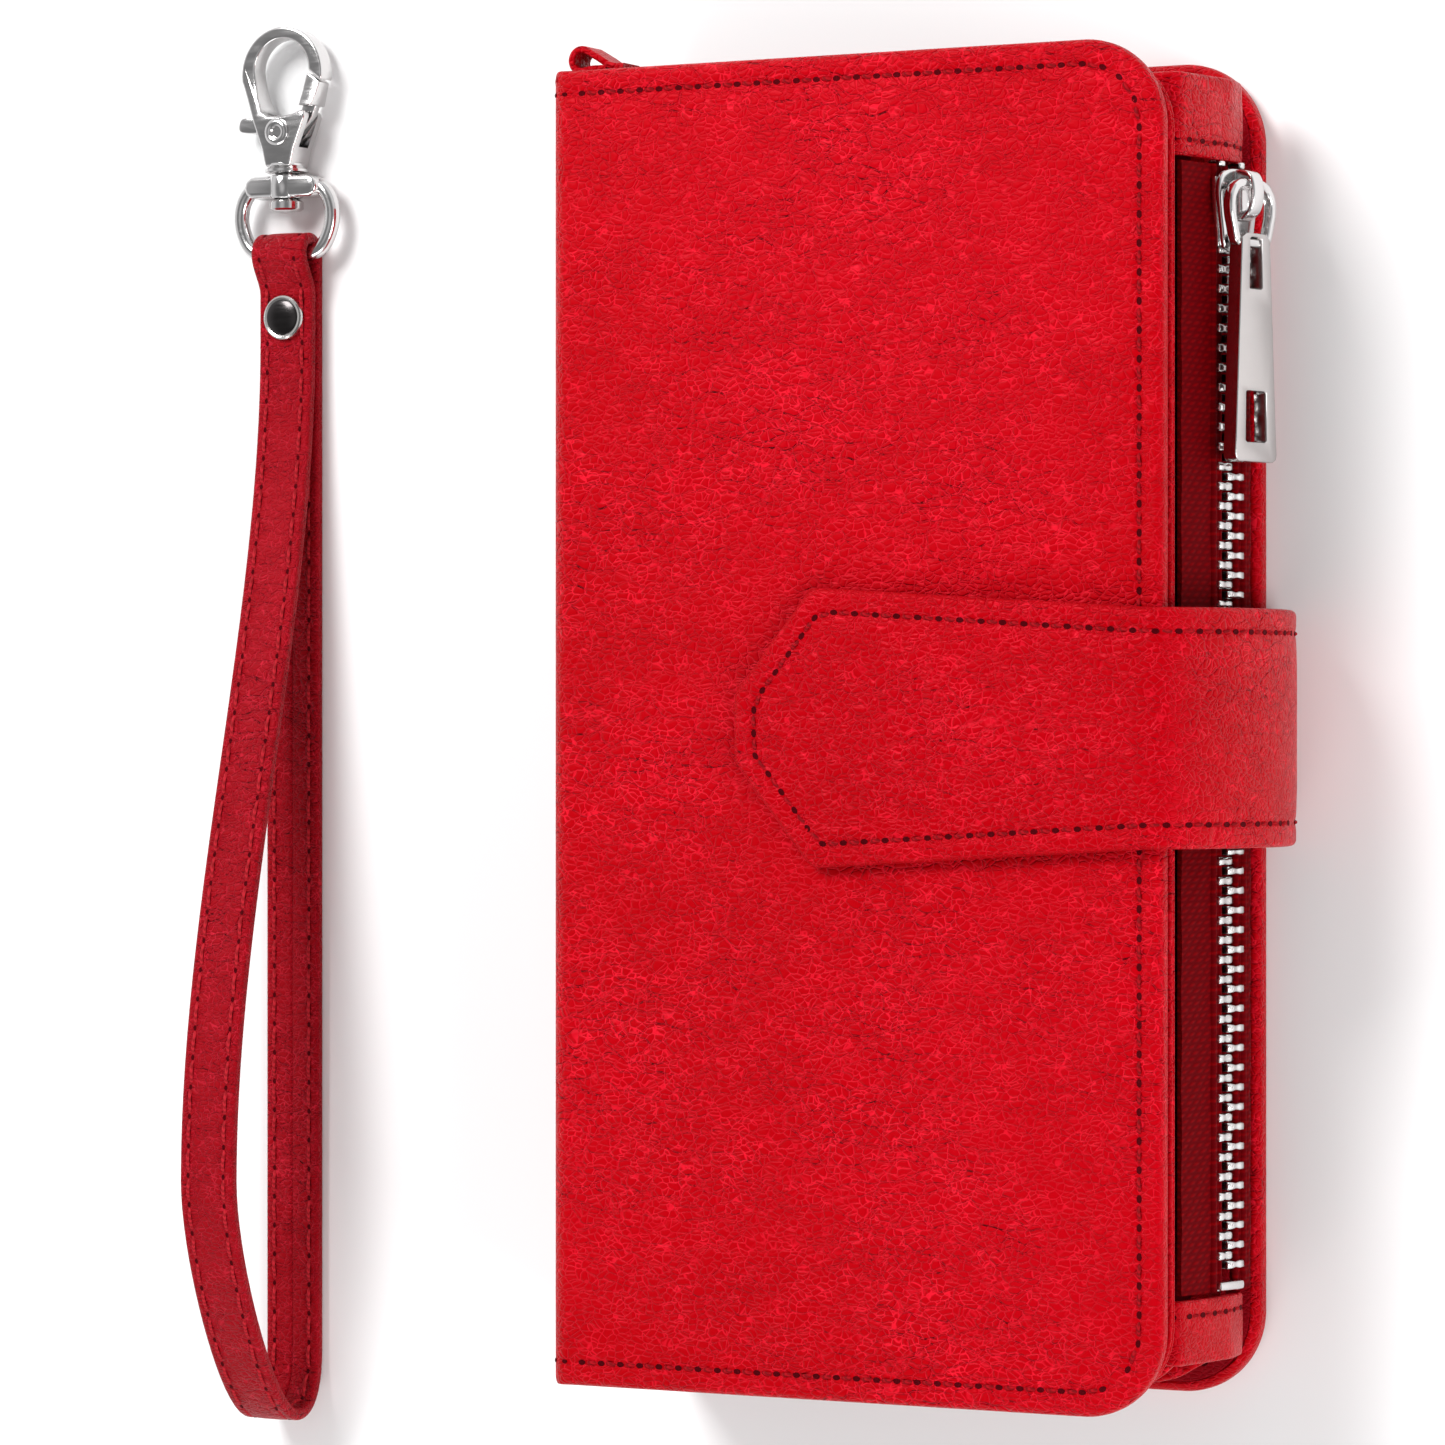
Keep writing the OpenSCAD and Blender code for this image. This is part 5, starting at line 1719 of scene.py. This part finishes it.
_, (_, ring_end, _) = box_mm("swivel_ring")
BAND_Y = ring_end - 3.0
bow_half = above(FOLD_Y, [(0, 0), (2.4, 0), (4.3, 0.12), (5.9, 1.2), (6.95, 3.3), (7.2, 5.4)])
bow_half += above(BAND_Y, [(6.75, -0.2), (5.7, 1.2), (4.6, 1.6)])
d_line = smooth_line([(-x, y) for x, y in reversed(bow_half[1:])] + bow_half, 6)
ring_part = sweep([Vector((WCX + p.x, p.y, HARD_Z)) for p in d_line], circle(1.05, 16), (0, 0, 1))
band_box = [(-5.5, 0.5), (-5.75, 1.4), (-5.5, 2.4), (-4.6, 3.0), (4.6, 3.0), (5.5, 2.4), (5.75, 1.4)]
band_box = above(BAND_Y, band_box + [(5.5, 0.5), (4.6, 0.05), (-4.6, 0.05)])
built("swivel_ring_bow", [ring_part], NICKEL, "swivel_ring", "bright_nickel", "swivel_ring")


def strap_place(u, v, w):
    return (WCX + u, v, w)


ring_band = extruded(
    "swivel_ring_band", band_box, HARD_Z - 1.9, HARD_Z + 1.9, NICKEL, 0.6, strap_place, segments=4,
)
put(ring_band, "swivel_ring", "bright_nickel")
swivel_at = (WCX, BAND_Y, HARD_Z)
boss = [(1.7, -0.12), (2.2, 0.0), (2.35, 0.25), (2.35, 2.8), (2.2, 3.05), (1.7, 3.15)]
turned("swivel_ring_boss", boss, swivel_at, ALONG, 36, NICKEL, "swivel_ring", "bright_nickel")
post = [(1.2, -1.7), (2.0, -1.65), (2.3, -1.4), (2.3, -0.5), (2.0, -0.22), (1.45, -0.15), (1.4, 0.1)]
post += [(1.4, 3.2), (1.8, 3.3), (1.8, 3.4), (1.4, 3.5), (1.4, 5.4)]
turned("swivel_post_turned", post, swivel_at, ALONG, 32, NICKEL, "hook", "bright_nickel", "swivel_post")

# ---------- lever hook ----------

PIV_Y = joints["gate_press"]["pos_m"][1] / MM
(_, COLLAR, _), (_, HOOK_TOP, _) = box_mm("hook_body")
R_OUT = 6.35
HOOK_Y = HOOK_TOP - R_OUT


def hook_place(u, v, w):
    """The bow above the pivot is thinner than the plate, so that it reads as a rod."""
    return (WCX + u, v, HARD_Z + w * (1 - 0.4 * smooth((v - PIV_Y - 1.5) / 5)))


GAP_OUT, GAP_IN = -10.0, -3.0
neck = above(PIV_Y, [(-2.55, -2.2), (-3.9, 1.4), (-5.2, 4.5), (-6.1, 6.7)])
throat = [(-4.0, 7.0), (-3.55, 4.8), (-2.75, 3.0), (-1.6, 2.25), (0.4, 2.15), (2.2, 2.4), (3.5, 2.9)]
throat += [(4.15, 2.7), (4.2, 2.0), (3.75, 0.8), (2.55, -2.2)]
hook_plan = [(-2.0, COLLAR + 0.9)] + neck + arc(0, HOOK_Y, R_OUT, 188, GAP_OUT, 30)
hook_plan += arc(0, HOOK_Y + 0.55, R_OUT - 2.1, GAP_IN, 180, 26)
hook_plan += above(PIV_Y, throat) + [(2.0, COLLAR + 0.9)]
hook_ob = extruded("hook_bow", hook_plan, -2.45, 2.45, NICKEL, 0.9, hook_place, segments=5)
lever_gap = [(WCX - 9, -2.0), (WCX + 9, -2.0), (WCX + 9, 2.7), (WCX - 9, 2.7)]
gap_heights = [(0, HARD_Z - 1.15), (0, HARD_Z + 1.15)]
cut(hook_ob, stack("slot_tool", lambda i: above(PIV_Y, lever_gap), gap_heights, NICKEL))
put(hook_ob, "hook", "bright_nickel", "hook_body")
collar = [(1.5, 0.0), (2.5, 0.02), (2.95, 0.25), (2.95, 0.6), (2.6, 0.85), (2.75, 1.05), (2.6, 1.35)]
collar += [(2.0, 1.6), (1.6, 1.65)]
turned("hook_collar", collar, (WCX, COLLAR, HARD_Z), ALONG, 36, NICKEL, "hook", "bright_nickel")
pin = [(1.2, -2.86), (1.7, -2.8), (1.75, -2.6), (1.0, -2.55), (1.0, 2.4), (1.75, 2.42), (1.8, 2.75)]
pin += [(1.55, 2.98), (1.15, 3.03), (0.82, 2.85), (0.7, 2.2), (0.3, 2.15)]
turned("gate_pin_rivet", pin, (WCX, PIV_Y, HARD_Z), UP, 32, NICKEL, "hook", "bright_nickel", "gate_pin")
turns = arc(WCX, PIV_Y, 1.42, 0, 1080, 60)
coil = [Vector((x, y, HARD_Z + 0.52 + 0.5 * k / 60)) for k, (x, y) in enumerate(turns)]
coil += [Vector((WCX + 1.42 + 0.3 * i, PIV_Y + 0.28 * i, HARD_Z + 1.0)) for i in range(1, 6)]
built(
    "gate_spring_coil", [sweep(coil, circle(0.2, 8), (0, 0, 1))], STEEL, "hook", "spring_steel",
    "gate_spring",
)
# The lever, from its thumb end along the near side to the bow, and back along the far side
lever = [(-7.35, 0.55), (-7.45, 1.6), (-6.9, 2.35), (-5.4, 2.25), (-3.9, 1.95), (-2.2, 1.85), (-0.6, 1.9)]
lever += [(1.2, 2.2), (2.45, 3.1), (3.2, 5.4), (3.95, 7.8), (4.9, 7.3), (5.7, 6.5), (5.1, 4.6), (4.2, 2.2)]
lever += [(2.9, 0.5), (1.75, -0.8), (0.2, -1.85), (-1.4, -1.3), (-2.4, -0.2), (-4.2, 0.2), (-5.8, 0.25)]
lever = plan_line(above(PIV_Y, lever), 3, True)
pin_hole = arc(0, PIV_Y, 1.06, 0, 340, 17)
arm = extruded("gate_lever_arm", lever, -1.05, 0.3, NICKEL, 0.3, hook_place, [pin_hole])
put(arm, "gate", "bright_nickel", "gate_lever")

gate_bar = [(2.95, 3.5), (3.35, 5.4), (3.9, 7.6), (4.2, 7.82), (5.2, 7.2), (5.95, 6.55), (5.5, 5.1)]
gate_bar = above(PIV_Y, gate_bar + [(4.9, 3.5)])
put(extruded("gate_bar", gate_bar, -2.2, 2.2, NICKEL, 0.7, hook_place, segments=4), "gate", "bright_nickel")

# ---------- carried-over CAD nodes ----------

STIFF = {"back_board": BOARD, "spine_board": BOARD, "cover_board": BOARD}
STIFF |= {"cover_keeper": STEEL, "strap_magnet": STEEL}
for node, mat in STIFF.items():
    data = frame["nodes"][node].data
    data.materials.clear()
    data.materials.append(mat)

# ---------- floor ----------

floor_s = Shader("pale_floor")
f_noise = floor_s.noise(4, 2)
floor_s.put(Base_Color=floor_s.ramp(f_noise, (0.3, grey(0.86)), (0.7, grey(0.88))), Roughness=0.9)
floor_me = bpy.data.meshes.new("floor")
floor_me.from_pydata([(x, y, -0.0002) for x, y in ((-3, -3), (3, -3), (3, 3), (-3, 3))], [], [(0, 1, 2, 3)])
floor_me.materials.append(floor_s.mat)
floor = bpy.data.objects.new("floor", floor_me)
bpy.context.scene.collection.objects.link(floor)
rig.stage(floor)

with open("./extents.json", "w") as f:
    json.dump({"cad": [list(v) for v in CAD_BOX], "visual": [list(v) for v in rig.bounds()]}, f)
